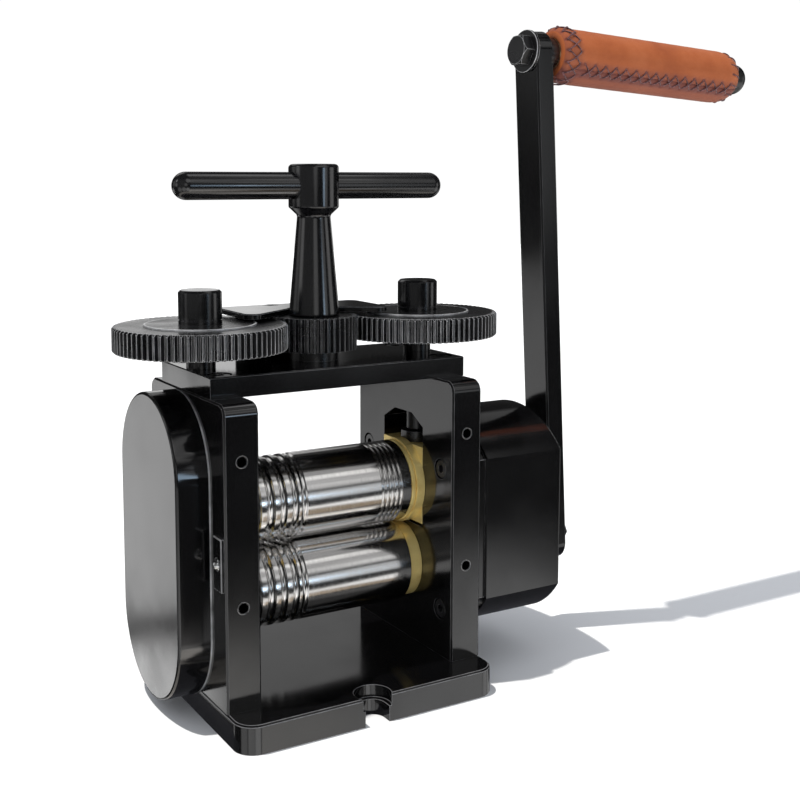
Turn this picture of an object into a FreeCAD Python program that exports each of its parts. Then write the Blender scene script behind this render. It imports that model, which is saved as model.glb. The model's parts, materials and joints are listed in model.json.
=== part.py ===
# Jewellers' rolling mill: two steel rolls in a bolted cast frame, opened and closed by a geared pair of
# screws under a T-handle, and turned by a leather-gripped crank through a reduction gearbox.
# Millimetres. X runs along the rolls, -Y is the working front, +Z is up.
# The origin is the centre of the base's underside.
import FreeCAD
import Part
import math
import os

V = FreeCAD.Vector
X_AXIS = V(1, 0, 0)
Y_AXIS = V(0, 1, 0)
Z_AXIS = V(0, 0, 1)

# ---------------------------------------------------------------- driving dimensions
# Fits and gaps
running_fit = 0.05          # radial, shaft in bush
slide_fit = 0.10            # block in frame slot, each side
thread_gap = 0.05           # radial, threads are plain cylinders
face_gap = 0.30             # between faces that pass each other

# Rolls
roll_radius = 18.7
roll_length = 80.0
roll_gap = 0.7
lower_axis_z = 49.3
journal_radius = 10.0
stub_radius = 8.0           # the journal's outer end, under the gears
wire_groove_widths = (3.9, 3.9, 3.3, 3.3)
wire_land_widths = (1.2, 2.6, 2.3, 2.4, 1.3)
wire_groove_depth_share = 0.36
relief_groove_width = 2.9
relief_groove_depth = 0.5
fine_groove_count = 5
fine_groove_pitch = 2.4
fine_groove_width = 1.7
fine_groove_depth = 0.9
fine_groove_end_land = 4.6

# Frame
frame_thickness = 15.2
frame_half_depth = 41.7
frame_height = 126.6
frame_top_radius = 5.0
base_depth = 112.4
base_thickness = 12.3
base_corner_radius = 9.0
edge_bevel = 0.8
notch_radius = 5.75
notch_centre_inset = 4.4
notch_bore_radius = 8.1
notch_floor_z = 6.9
guard_hole_radius = 2.1
guard_hole_depth = 14.0
guard_hole_low_z = 55.6
guard_hole_spacing_z = 60.0

# Bearings
bush_radius = 14.0
flange_length = 6.4
lower_flange_radius = 17.4
thrust_ring_length = 2.0
upper_flange_radius = 19.6
block_half_width = 17.1
block_half_height = 17.9
slot_floor_gap = 1.5
slot_headroom = 9.3
slot_neck_height = 5.4
slot_neck_half_width = 7.4
spring_pocket_radius = 3.4
spring_pocket_depth = 7.5
spring_offset_y = 12.0
spring_coil_radius = 2.6
spring_wire_radius = 0.45
spring_turns = 5

# Top plate and the screw-down
top_plate_half_depth = 27.8
top_plate_thickness = 8.9
screw_radius = 4.95
thrust_pad_radius = 7.9
thrust_pad_height = 5.0
screw_module = 0.9
screw_gear_teeth = 80
centre_pinion_teeth = 40
screw_gear_width = 10.8
screw_gear_lift = 7.6       # plate top to the gear's underside
gear_boss_radius = 23.7
gear_boss_height = 0.6
gear_tip_chamfer = 0.8
hub_radius = 9.2
hub_neck_radius = 6.2
hub_height = 25.6           # gear underside to hub top
hub_roof = 2.5
screw_top_room = 4.6        # screw top to the inside of the hub's roof
screw_key_width = 2.4
screw_key_height = 1.0
pinion_underlap = 2.9       # the pinion's underside below the gears'
pinion_overlap = 1.0
spindle_radius = 7.0
pinion_bush_radius = 9.4
pinion_bush_flange_radius = 11.0
retainer_thickness = 1.5
retainer_radius = 9.6
retainer_groove_depth = 0.7
stem_foot_radius = 11.2
stem_neck_radius = 7.35
stem_neck_height = 43.8
stem_cone_height = 3.7
handle_hub_radius = 11.1
handle_hub_height = 18.8
handle_hub_fillet = 1.8
bar_radius = 5.9
bar_half_length = 65.4
bar_drop = 9.4              # hub top to the bar's axis

# Keeper plate over the gears
keeper_half_length = 35.4
keeper_thickness = 2.4
keeper_lobe_front = 6.5     # lobes reach this far in front of the screws' plane
keeper_lobe_x = 29.0
keeper_waist_gap = 0.8
keeper_waist_deg = 36.0
keeper_corner_radius = 4.5
keeper_post_front_half = 19.0
keeper_post_half_width = 26.2
keeper_post_depth = 7.3
keeper_post_edge = 0.8       # straight part of its ends, at the back
keeper_screw_x = 10.0

# Left gear cover
cover_depth = 14.8
cover_wall = 3.0
cover_radius = 33.9
cover_shift_y = 6.8
cover_top_centre_z = 104.1
cover_bottom_centre_z = 39.4
cover_fillet = 1.2
cover_boss_radius = 5.0
cover_boss_height = 10.0
cover_screw_places = ((27.0, 112.0), (27.0, 36.0), (-17.0, 26.0))
sync_teeth = 12
sync_tip_radius = 21.8
sync_root_radius = 15.4
sync_width = 8.0
sync_closed_gap = 0.1       # roll gap at which the sync gears mesh deepest

# Oiler
oiler_plate_width = 8.0
oiler_plate_height = 22.0
oiler_plate_thickness = 1.5
oiler_inset = 5.2           # from the frame's front face
oiler_z = 73.8
oiler_ball_radius = 2.5

# Gearbox
back_plate_thickness = 7.1
back_plate_inset = 1.5
housing_depth = 42.2
housing_half_width = 37.0
housing_wall = 4.0
housing_top_radius = 48.95
housing_top_z = 118.3
housing_bottom_radius = 44.4
housing_bottom_z = 16.2
housing_boss_radius = 5.2
housing_boss_height = 12.0
gearbox_screw_y = 32.0
gearbox_screw_zs = (34.0, 98.5)
drive_module = 1.5
wheel_teeth = 32
drive_pinion_teeth = 18
wheel_width = 8.0
drive_pinion_width = 9.0
layshaft_radius = 6.0
layshaft_bush_radius = 8.5
crank_shaft_radius = 7.5
crank_seat_radius = 6.0      # in the arm
crank_thread_radius = 5.0
crank_washer_radius = 7.9
crank_washer_thickness = 1.0
crank_nut_radius = 7.2
crank_nut_height = 1.9
crank_bush_radius = 10.0
shaft_boss_wall = 3.0
key_width = 3.0
key_height = 1.2

# Crank and grip
arm_offset = 16.9           # housing end to the arm's inner face at the shaft
arm_thickness = 9.9
arm_width = 18.5
arm_end_drop = 5.3          # shaft axis to the centre of the arm's round lower end
arm_length = 239.5
arm_lean_deg = 3.1          # top towards the mill
grip_droop_deg = 3.2        # free end down
collar_radius = 9.5
grip_spindle_radius = 5.0
grip_collar_radius = 7.7
grip_start = 15.0           # from the arm's inner face
grip_length = 119.1
grip_radius = 13.5
grip_round_length = 10.9    # rounded far end, along the grip
grip_round_depth = 5.2       # and across it
leather_thickness = 2.4
leather_lip = 2.0
grip_hole_radius = 7.8
spot_face_depth = 0.9
end_nut_radius = 8.0
end_nut_length = 10.1
end_nut_round = 6.0
bolt_head_radius = 7.8
bolt_head_height = 5.2
washer_radius = 10.2
washer_thickness = 1.6

# Fasteners
m6_radius = 2.95
m6_head_radius = 4.9
m6_head_height = 5.5
m5_radius = 2.45
m5_head_radius = 4.25
m5_head_height = 4.6
m4_radius = 1.95
m4_head_radius = 3.6
m4_head_height = 2.2
socket_share = 0.5          # hex socket width and depth, of the head
counterbore_gap = 0.4

# ---------------------------------------------------------------- worked-out places
roll_half = roll_length / 2
upper_axis_z = lower_axis_z + 2 * roll_radius + roll_gap
frame_inner_x = roll_half + flange_length
frame_outer_x = frame_inner_x + frame_thickness
frame_mid_x = frame_inner_x + frame_thickness / 2
frame_top_z = base_thickness + frame_height
plate_top_z = frame_top_z + top_plate_thickness
block_bottom_z = upper_axis_z - block_half_height
block_top_z = upper_axis_z + block_half_height
slot_floor_z = block_bottom_z - slot_floor_gap
slot_shoulder_z = block_top_z + slot_headroom
slot_neck_z = slot_shoulder_z + slot_neck_height
pad_top_z = block_top_z + thrust_pad_height
gear_bottom_z = plate_top_z + screw_gear_lift
gear_top_z = gear_bottom_z + screw_gear_width
hub_top_z = gear_bottom_z + hub_height
screw_top_z = hub_top_z - hub_roof - screw_top_room
pinion_bottom_z = gear_bottom_z - pinion_underlap
pinion_top_z = gear_top_z + pinion_overlap
screw_gear_radius = screw_module * screw_gear_teeth / 2
centre_pinion_radius = screw_module * centre_pinion_teeth / 2
gear_x = screw_gear_radius + centre_pinion_radius
stem_foot_z = pinion_top_z + face_gap
keeper_bottom_z = pinion_top_z + face_gap + 0.1
keeper_top_z = keeper_bottom_z + keeper_thickness
keeper_back_y = centre_pinion_radius + screw_module + face_gap + 1.3 + keeper_post_depth
cover_face_x = -frame_outer_x - cover_depth
oiler_y = -(frame_half_depth - oiler_inset)
sync_x = -frame_outer_x - cover_depth + cover_wall + face_gap + 1.4
back_plate_x = frame_outer_x + back_plate_thickness
housing_end_x = back_plate_x + housing_depth
housing_inner_x = housing_end_x - housing_wall
stage_distance = drive_module * (wheel_teeth + drive_pinion_teeth) / 2
layshaft_z = lower_axis_z + stage_distance
drive_wheel_x = back_plate_x + 2.5
drive_wheel_end_x = drive_wheel_x + wheel_width
lower_end_x = drive_wheel_end_x + 2.0
input_wheel_x = drive_wheel_end_x + 5.5
input_wheel_end_x = input_wheel_x + wheel_width
inner_boss_x = input_wheel_end_x + 2.5
arm_x = housing_end_x + arm_offset
grip_x = arm_x - arm_length * math.sin(math.radians(arm_lean_deg))
grip_z = lower_axis_z + arm_length * math.cos(math.radians(arm_lean_deg))


# ---------------------------------------------------------------- shape helpers
def box(x0, x1, y0, y1, z0, z1):
    return Part.makeBox(x1 - x0, y1 - y0, z1 - z0, V(x0, y0, z0))


def rod_x(radius, x0, x1, y, z):
    return Part.makeCylinder(radius, x1 - x0, V(x0, y, z), X_AXIS)


def rod_y(radius, y0, y1, x, z):
    return Part.makeCylinder(radius, y1 - y0, V(x, y0, z), Y_AXIS)


def rod_z(radius, z0, z1, x, y):
    return Part.makeCylinder(radius, z1 - z0, V(x, y, z0), Z_AXIS)


def tube_x(outer, inner, x0, x1, y, z):
    return rod_x(outer, x0, x1, y, z).cut(rod_x(inner, x0 - 1, x1 + 1, y, z))


def tube_z(outer, inner, z0, z1, x, y):
    return rod_z(outer, z0, z1, x, y).cut(rod_z(inner, z0 - 1, z1 + 1, x, y))


def mirror_x(shape):
    return shape.mirror(V(0, 0, 0), X_AXIS)


def group(shapes):
    return Part.makeCompound(shapes)


def prism(points, direction):
    """Closed polygon of points, extruded along a vector."""
    return Part.Face(Part.makePolygon(points + points[:1])).extrude(direction)


def turned(profile, radial, axis, centre):
    """Turned piece: (length, radius) corners swept about an axis through a centre."""
    points = [centre + axis * along + radial * radius for along, radius in profile]
    return Part.Face(Part.makePolygon(points + points[:1])).revolve(centre, axis, 360)


def edges_on_plane(shape, axis, level):
    """Edges that lie wholly in the plane axis = level."""
    low = {"x": "XMin", "y": "YMin", "z": "ZMin"}[axis]
    high = {"x": "XMax", "y": "YMax", "z": "ZMax"}[axis]
    return [
        edge for edge in shape.Edges
        if abs(getattr(edge.BoundBox, low) - level) < 1e-3 and abs(getattr(edge.BoundBox, high) - level) < 1e-3
    ]


def hex_prism(corner_radius, height):
    """Hexagon standing on the XY plane, corners on a circle."""
    corners = [
        V(corner_radius * math.cos(math.radians(60 * i)), corner_radius * math.sin(math.radians(60 * i)), 0)
        for i in range(6)
    ]
    return prism(corners, V(0, 0, height))


def cap_screw(radius, length, head_radius, head_height):
    """Socket screw pointing down from the origin, with its head above."""
    shank = rod_z(radius, -length, 0, 0, 0)
    head = rod_z(head_radius, 0, head_height, 0, 0)
    head = head.makeChamfer(head_height * 0.1, edges_on_plane(head, "z", head_height))
    depth = head_height * socket_share
    socket = hex_prism(head_radius * socket_share, depth + 1)
    socket.translate(V(0, 0, head_height - depth))
    return shank.fuse(head).removeSplitter().cut(socket)


def pointed(shape, direction):
    """Turns a piece that points down so that it points along +X, -X or +Z."""
    turns = {"+x": (Y_AXIS, -90), "-x": (Y_AXIS, 90), "+z": (X_AXIS, 180)}
    axis, angle = turns[direction]
    shape.rotate(V(0, 0, 0), axis, angle)
    return shape


def placed(shape, x, y, z):
    shape.translate(V(x, y, z))
    return shape


def involute(angle):
    return math.tan(angle) - angle


def gear(teeth, module, tip, root, width, backlash, pressure_deg, flank_steps, tooth_at_deg):
    """Spur gear on the Z axis from z = 0, with one tooth centred on the angle tooth_at_deg."""
    pitch = module * teeth / 2
    pressure = math.radians(pressure_deg)
    base = pitch * math.cos(pressure)
    half_at_pitch = math.pi / (2 * teeth) - backlash / (4 * pitch)

    def half_angle(radius):
        if radius <= base:
            return half_at_pitch + involute(pressure)
        return half_at_pitch + involute(pressure) - involute(math.acos(base / radius))

    radii = [root + (tip - root) * i / flank_steps for i in range(flank_steps + 1)]
    points = []
    for tooth in range(teeth):
        centre = math.radians(tooth_at_deg) + 2 * math.pi * tooth / teeth
        flank = [(r, half_angle(r)) for r in radii]
        corners = [(r, centre - a) for r, a in flank] + [(r, centre + a) for r, a in reversed(flank)]
        points += [V(r * math.cos(a), r * math.sin(a), 0) for r, a in corners]
    return prism(points, V(0, 0, width))


def on_x_axis(shape, x, z):
    """Carries a piece from the Z axis to the X direction, its old Y pointing up, at a height z."""
    shape.rotate(V(0, 0, 0), V(1, 1, 1), 120)
    shape.translate(V(x, 0, z))
    return shape


# ---------------------------------------------------------------- base and side frames
base_screw_y = 27.0
base_screw_depth = 13.0
top_screw_y = 20.0
top_screw_depth = 12.0


def base_plate():
    half_depth = base_depth / 2
    plate = box(-frame_outer_x, frame_outer_x, -half_depth, half_depth, 0, base_thickness)
    corners = [e for e in plate.Edges if e.BoundBox.ZLength > base_thickness / 2]
    plate = plate.makeFillet(base_corner_radius, corners)
    plate = plate.makeChamfer(edge_bevel, edges_on_plane(plate, "z", base_thickness))
    for side in (-1, 1):
        centre_y = side * (half_depth - notch_centre_inset)
        edge_y = side * (half_depth + 1)
        low_y, high_y = min(centre_y, edge_y), max(centre_y, edge_y)
        plate = plate.cut(rod_z(notch_radius, -1, base_thickness + 1, 0, centre_y))
        plate = plate.cut(box(-notch_radius, notch_radius, low_y, high_y, -1, base_thickness + 1))
        plate = plate.cut(rod_z(notch_bore_radius, notch_floor_z, base_thickness + 1, 0, centre_y))
    for x in (-frame_mid_x, frame_mid_x):
        for y in (-base_screw_y, base_screw_y):
            plate = plate.cut(rod_z(m6_radius + thread_gap, -1, base_thickness + 1, x, y))
            plate = plate.cut(rod_z(m6_head_radius + counterbore_gap, -1, m6_head_height + face_gap, x, y))
    return plate


def base_screws():
    screws = []
    for x in (-frame_mid_x, frame_mid_x):
        for y in (-base_screw_y, base_screw_y):
            length = base_thickness - m6_head_height - face_gap + base_screw_depth - 1
            screw = cap_screw(m6_radius, length, m6_head_radius, m6_head_height)
            screws.append(placed(pointed(screw, "+z"), x, y, m6_head_height + face_gap))
    return group(screws)


def frame_blank():
    """The right frame's outer form, with its top corners rounded and its outline bevelled."""
    blank = box(frame_inner_x, frame_outer_x, -frame_half_depth, frame_half_depth, base_thickness, frame_top_z)
    top_corners = [
        e for e in blank.Edges
        if e.BoundBox.XLength > 1 and e.BoundBox.ZMin > frame_top_z - 1
    ]
    blank = blank.makeFillet(frame_top_radius, top_corners)
    outline = edges_on_plane(blank, "x", frame_inner_x) + edges_on_plane(blank, "x", frame_outer_x)
    outline = [e for e in outline if e.BoundBox.ZMax > base_thickness + 1]
    return blank.makeChamfer(edge_bevel, outline)


def bearing_slot():
    corners = [
        V(frame_inner_x - 1, -block_half_width - slide_fit, slot_floor_z),
        V(frame_inner_x - 1, block_half_width + slide_fit, slot_floor_z),
        V(frame_inner_x - 1, block_half_width + slide_fit, slot_shoulder_z),
        V(frame_inner_x - 1, slot_neck_half_width, slot_neck_z),
        V(frame_inner_x - 1, -slot_neck_half_width, slot_neck_z),
        V(frame_inner_x - 1, -block_half_width - slide_fit, slot_shoulder_z),
    ]
    return prism(corners, V(frame_thickness + 2, 0, 0))


def guard_hole(z):
    """Tapped hole in the front face."""
    return rod_y(guard_hole_radius, -frame_half_depth - 1, -frame_half_depth + guard_hole_depth, frame_mid_x, z)


def bored_frame():
    """Everything that the two side frames share, on the right."""
    frame = frame_blank().cut(bearing_slot())
    frame = frame.cut(rod_x(bush_radius, frame_inner_x - 1, frame_outer_x + 1, 0, lower_axis_z))
    frame = frame.cut(rod_z(screw_radius + thread_gap, slot_neck_z - 1, frame_top_z + 1, frame_mid_x, 0))
    for z in (guard_hole_low_z, guard_hole_low_z + guard_hole_spacing_z):
        frame = frame.cut(guard_hole(z))
    for y in (-base_screw_y, base_screw_y):
        low = base_thickness
        frame = frame.cut(rod_z(m6_radius + thread_gap, low - 1, low + base_screw_depth, frame_mid_x, y))
    for y in (-top_screw_y, top_screw_y):
        low = frame_top_z - top_screw_depth
        frame = frame.cut(rod_z(m6_radius + thread_gap, low, frame_top_z + 1, frame_mid_x, y))
    return frame


def screw_passage(y, z):
    """Counterbored hole through the right frame for a screw put in from inside the window."""
    seat_x = frame_inner_x + m5_head_height + face_gap
    hole = rod_x(m5_radius + thread_gap, frame_inner_x - 1, frame_outer_x + 1, y, z)
    return hole.fuse(rod_x(m5_head_radius + counterbore_gap, frame_inner_x - 1, seat_x, y, z))


def right_side_frame():
    frame = bored_frame()
    for z in gearbox_screw_zs:
        for y in (-gearbox_screw_y, gearbox_screw_y):
            frame = frame.cut(screw_passage(y, z))
    return frame


def left_side_frame():
    frame = bored_frame()
    for y, z in cover_screw_places:
        frame = frame.cut(screw_passage(y, z))
    oil_way = rod_x(m4_radius, frame_outer_x - 8, frame_outer_x + 1, oiler_y, oiler_z)
    return mirror_x(frame.cut(oil_way))


# ---------------------------------------------------------------- bearings
def lower_bush():
    """Right lower bearing bush; its flange takes the roll's end thrust."""
    bore = journal_radius + running_fit
    sleeve = rod_x(bush_radius, frame_inner_x - face_gap, frame_outer_x, 0, lower_axis_z)
    flange = rod_x(lower_flange_radius, roll_half + face_gap / 3, frame_inner_x, 0, lower_axis_z)
    bush = sleeve.fuse(flange).removeSplitter()
    return bush.cut(rod_x(bore, roll_half - 1, frame_outer_x + 1, 0, lower_axis_z))


def upper_block():
    """Right upper bearing block: a slide in the frame's slot with a round flange inside."""
    inner = roll_half + thrust_ring_length + face_gap / 3
    body = box(
        frame_inner_x - face_gap, frame_outer_x - face_gap,
        -block_half_width, block_half_width, block_bottom_z, block_top_z,
    )
    flange = rod_x(upper_flange_radius, inner, frame_inner_x - face_gap / 3, 0, upper_axis_z)
    block = body.fuse(flange).removeSplitter()
    block = block.cut(rod_x(journal_radius + running_fit, inner - 1, frame_outer_x + 1, 0, upper_axis_z))
    for y in (-spring_offset_y, spring_offset_y):
        pocket = rod_z(spring_pocket_radius, block_bottom_z - 1, block_bottom_z + spring_pocket_depth, frame_mid_x, y)
        block = block.cut(pocket)
    return block


def thrust_rings():
    ring = tube_x(
        roll_radius + 0.2, journal_radius + running_fit,
        roll_half + face_gap / 3, roll_half + thrust_ring_length, 0, upper_axis_z,
    )
    return group([mirror_x(ring), ring])


def thrust_pads():
    """Hardened pads between the bearing blocks and the screws' tips."""
    pads = []
    for x in (-frame_mid_x, frame_mid_x):
        pad = rod_z(thrust_pad_radius - 0.4, block_top_z, pad_top_z, x, 0)
        pad = pad.common(box(x - frame_thickness / 2 + 0.4, x + frame_thickness / 2 - 0.4, -9, 9, 0, frame_top_z))
        pads.append(pad)
    return group(pads)


def lift_spring(x, y):
    """Closed coil in the block's pocket, standing on the slot's floor."""
    low = slot_floor_z + spring_wire_radius + 0.05
    high = block_bottom_z + spring_pocket_depth - spring_wire_radius - 0.05
    coil = Part.makeHelix((high - low) / spring_turns, high - low, spring_coil_radius)
    section = Part.Wire(Part.Circle(V(spring_coil_radius, 0, 0), Y_AXIS, spring_wire_radius).toShape())
    spring = Part.Wire(coil.Edges).makePipeShell([section], True, True)
    return placed(spring, x, y, low)


def lift_springs():
    return group([
        lift_spring(x, y)
        for x in (-frame_mid_x, frame_mid_x)
        for y in (-spring_offset_y, spring_offset_y)
    ])


# ---------------------------------------------------------------- rolls
def groove_cutter(x, width, depth, z):
    """Ring with a circular-arc section that cuts a round-bottomed groove."""
    arc = Part.Arc(
        V(x - width / 2, 0, z + roll_radius),
        V(x, 0, z + roll_radius - depth),
        V(x + width / 2, 0, z + roll_radius),
    ).toShape()
    lid = [
        V(x + width / 2, 0, z + roll_radius),
        V(x + width / 2, 0, z + roll_radius + 1),
        V(x - width / 2, 0, z + roll_radius + 1),
        V(x - width / 2, 0, z + roll_radius),
    ]
    wire = Part.Wire([arc] + Part.makePolygon(lid).Edges)
    return Part.Face(wire).revolve(V(0, 0, z), X_AXIS, 360)


def wire_grooves(z):
    """Graded wire grooves from the left end, closed by a shallow relief."""
    cutters = []
    x = -roll_half
    for land, width in zip(wire_land_widths, wire_groove_widths):
        x += land
        cutters.append(groove_cutter(x + width / 2, width, width * wire_groove_depth_share, z))
        x += width
    x += wire_land_widths[-1]
    cutters.append(groove_cutter(x + relief_groove_width / 2, relief_groove_width, relief_groove_depth, z))
    return cutters


def fine_grooves(z):
    """Fine pattern grooves near the right end."""
    last = roll_half - fine_groove_end_land - fine_groove_width / 2
    return [
        groove_cutter(last - fine_groove_pitch * i, fine_groove_width, fine_groove_depth, z)
        for i in range(fine_groove_count)
    ]


def key_seat_x(x0, x1, radius, z):
    """Key on top of a shaft along X; it is also the cutter for both keyways."""
    half = key_width / 2
    return box(x0, x1, -half, half, z + radius - key_height, z + radius + key_height)


sync_key_span = (sync_x, sync_x + sync_width)


def upper_roll():
    z = upper_axis_z
    end = frame_outer_x - 0.6
    stub_end = sync_x - 0.6
    body = rod_x(roll_radius, -roll_half, roll_half, 0, z)
    body = body.makeFillet(0.5, body.Edges[0:1] + body.Edges[2:3])
    body = body.fuse(rod_x(journal_radius, -frame_outer_x, end, 0, z))
    body = body.fuse(rod_x(stub_radius, stub_end, -frame_outer_x, 0, z)).removeSplitter()
    for cutter in wire_grooves(z) + fine_grooves(z):
        body = body.cut(cutter)
    return body.cut(key_seat_x(*sync_key_span, stub_radius, z))


def lower_roll():
    z = lower_axis_z
    stub_end = sync_x - 0.6
    body = rod_x(roll_radius, -roll_half, roll_half, 0, z)
    body = body.makeFillet(0.5, body.Edges[0:1] + body.Edges[2:3])
    body = body.fuse(rod_x(journal_radius, -frame_outer_x, drive_wheel_x, 0, z))
    body = body.fuse(rod_x(stub_radius, stub_end, lower_end_x, 0, z)).removeSplitter()
    for cutter in wire_grooves(z):
        body = body.cut(cutter)
    body = body.cut(key_seat_x(*sync_key_span, stub_radius, z))
    return body.cut(key_seat_x(drive_wheel_x, drive_wheel_end_x, stub_radius, z))


def sync_gear(z, tooth_at_deg):
    """Gear on the rolls' left ends; long teeth stay in mesh while the rolls part."""
    closed = 2 * roll_radius + sync_closed_gap
    wheel = gear(
        sync_teeth, closed / sync_teeth, sync_tip_radius, sync_root_radius,
        sync_width, 0.7, 25.0, 6, tooth_at_deg,
    )
    wheel = on_x_axis(wheel.cut(rod_z(stub_radius, -1, sync_width + 1, 0, 0)), sync_x, z)
    return wheel.cut(key_seat_x(*sync_key_span, stub_radius, z))


# ---------------------------------------------------------------- left gear cover
def obround(x0, x1, radius):
    """Upright rounded slab between two heights, across the cover's centre line."""
    low = rod_x(radius, x0, x1, cover_shift_y, cover_bottom_centre_z)
    high = rod_x(radius, x0, x1, cover_shift_y, cover_top_centre_z)
    middle = box(
        x0, x1, cover_shift_y - radius, cover_shift_y + radius,
        cover_bottom_centre_z, cover_top_centre_z,
    )
    return low.fuse(high).fuse(middle).removeSplitter()


def left_gear_cover():
    shell = obround(cover_face_x, -frame_outer_x, cover_radius)
    shell = shell.makeFillet(cover_fillet, edges_on_plane(shell, "x", cover_face_x))
    shell = shell.cut(obround(cover_face_x + cover_wall, -frame_outer_x + 1, cover_radius - cover_wall))
    outline = obround(cover_face_x + cover_wall, -frame_outer_x, cover_radius - cover_wall)
    for y, z in cover_screw_places:
        boss = rod_x(cover_boss_radius, cover_face_x + cover_wall - 1, -frame_outer_x, y, z)
        shell = shell.fuse(boss.common(outline))
    shell = shell.removeSplitter()
    for y, z in cover_screw_places:
        shell = shell.cut(rod_x(m5_radius + thread_gap, -frame_outer_x - cover_boss_height, -frame_outer_x + 1, y, z))
    return shell


def cover_screws():
    seat_x = frame_inner_x + m5_head_height + face_gap
    length = frame_outer_x - seat_x + cover_boss_height - 1
    return group([
        placed(pointed(cap_screw(m5_radius, length, m5_head_radius, m5_head_height), "-x"), -seat_x, y, z)
        for y, z in cover_screw_places
    ])


def oiler_plate():
    half = oiler_plate_width / 2
    plate = box(
        -frame_outer_x - oiler_plate_thickness, -frame_outer_x, oiler_y - half, oiler_y + half,
        oiler_z - oiler_plate_height / 2, oiler_z + oiler_plate_height / 2,
    )
    plate = plate.makeChamfer(0.3, edges_on_plane(plate, "x", -frame_outer_x - oiler_plate_thickness))
    return plate.cut(rod_x(oiler_ball_radius + 0.1, -frame_outer_x - 3, -frame_outer_x + 1, oiler_y, oiler_z))


def ball_oiler():
    """Press-in oiler: a short tail in the plate's hole under a sprung ball."""
    x = -frame_outer_x - oiler_plate_thickness
    tail = rod_x(oiler_ball_radius, x, -frame_outer_x, oiler_y, oiler_z)
    ball = Part.makeSphere(oiler_ball_radius, V(x, oiler_y, oiler_z))
    return tail.fuse(ball).removeSplitter()


# ---------------------------------------------------------------- top plate and screw-down
def top_plate():
    half_x = frame_outer_x - face_gap
    plate = box(-half_x, half_x, -top_plate_half_depth, top_plate_half_depth, frame_top_z, plate_top_z)
    plate = plate.makeChamfer(edge_bevel / 2, edges_on_plane(plate, "z", plate_top_z))
    for x in (-frame_mid_x, frame_mid_x):
        plate = plate.cut(rod_z(screw_radius + thread_gap, frame_top_z - 1, plate_top_z + 1, x, 0))
        for y in (-top_screw_y, top_screw_y):
            plate = plate.cut(rod_z(m6_radius + thread_gap, frame_top_z - 1, plate_top_z + 1, x, y))
            seat = plate_top_z - m6_head_height - face_gap
            plate = plate.cut(rod_z(m6_head_radius + counterbore_gap, seat, plate_top_z + 1, x, y))
    plate = plate.cut(rod_z(pinion_bush_radius, frame_top_z - 1, plate_top_z + 1, 0, 0))
    for x in (-keeper_screw_x, keeper_screw_x):
        y = keeper_back_y - keeper_post_depth / 2
        plate = plate.cut(rod_z(m4_radius + thread_gap, frame_top_z - 1, plate_top_z + 1, x, y))
        plate = plate.cut(rod_z(m4_head_radius + 0.2, frame_top_z - 1, frame_top_z + m4_head_height + 0.2, x, y))
    return plate


def top_plate_screws():
    seat = plate_top_z - m6_head_height - face_gap
    length = seat - frame_top_z + top_screw_depth - 1
    return group([
        placed(cap_screw(m6_radius, length, m6_head_radius, m6_head_height), x, y, seat)
        for x in (-frame_mid_x, frame_mid_x)
        for y in (-top_screw_y, top_screw_y)
    ])


def pressure_screw(x):
    """Screw that pushes the bearing block down; its key slides in the gear's hub."""
    low = pad_top_z + 0.1
    screw = rod_z(screw_radius, low, screw_top_z, x, 0)
    screw = screw.makeChamfer(0.6, edges_on_plane(screw, "z", low) + edges_on_plane(screw, "z", screw_top_z))
    return screw.cut(screw_key(x))


def screw_key(x):
    half = screw_key_width / 2
    return box(
        x - half, x + half, screw_radius - screw_key_height, screw_radius + screw_key_height,
        gear_bottom_z + 1.0, screw_top_z - 1.5,
    )


def gear_hub(x):
    """Hub pressed into the gear: a neck that stands on the plate and a closed post above."""
    profile = [
        (plate_top_z + 0.1, 0),
        (plate_top_z + 0.1, hub_neck_radius),
        (gear_bottom_z, hub_neck_radius),
        (gear_bottom_z, hub_radius),
        (hub_top_z - 1.0, hub_radius),
        (hub_top_z, hub_radius - 1.0),
        (hub_top_z, 0),
    ]
    hub = turned(profile, X_AXIS, Z_AXIS, V(x, 0, 0))
    hub = hub.cut(rod_z(screw_radius + running_fit, plate_top_z - 1, hub_top_z - hub_roof, x, 0))
    half = screw_key_width / 2 + running_fit
    way = box(
        x - half, x + half, 0, screw_radius + screw_key_height + running_fit,
        gear_bottom_z, hub_top_z - hub_roof,
    )
    return hub.cut(way)


def screw_gear(x, tooth_at_deg):
    """Large gear of the screw-down, chamfered at the tooth tips, with a low boss on top."""
    tip = screw_gear_radius + screw_module
    root = screw_gear_radius - 1.2 * screw_module
    wheel = gear(
        screw_gear_teeth, screw_module, tip, root,
        screw_gear_width, 0.16, 20.0, 2, tooth_at_deg,
    )
    cone = gear_tip_chamfer
    blank = turned(
        [
            (0, 0), (0, tip - cone), (cone, tip), (screw_gear_width - cone, tip),
            (screw_gear_width, tip - cone), (screw_gear_width, 0),
        ],
        X_AXIS, Z_AXIS, V(0, 0, 0),
    )
    boss_top = screw_gear_width + gear_boss_height
    boss = rod_z(gear_boss_radius, screw_gear_width - 1, boss_top, 0, 0)
    boss = boss.makeChamfer(0.4, edges_on_plane(boss, "z", boss_top))
    wheel = wheel.common(blank).fuse(boss).removeSplitter()
    return placed(wheel.cut(rod_z(hub_radius, -1, boss_top + 1, 0, 0)), x, 0, gear_bottom_z)


def pinion_key():
    half = key_width / 2
    return box(
        -half, half, -spindle_radius - key_height, -spindle_radius + key_height,
        pinion_bottom_z + 2, pinion_top_z - 2,
    )


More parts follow.
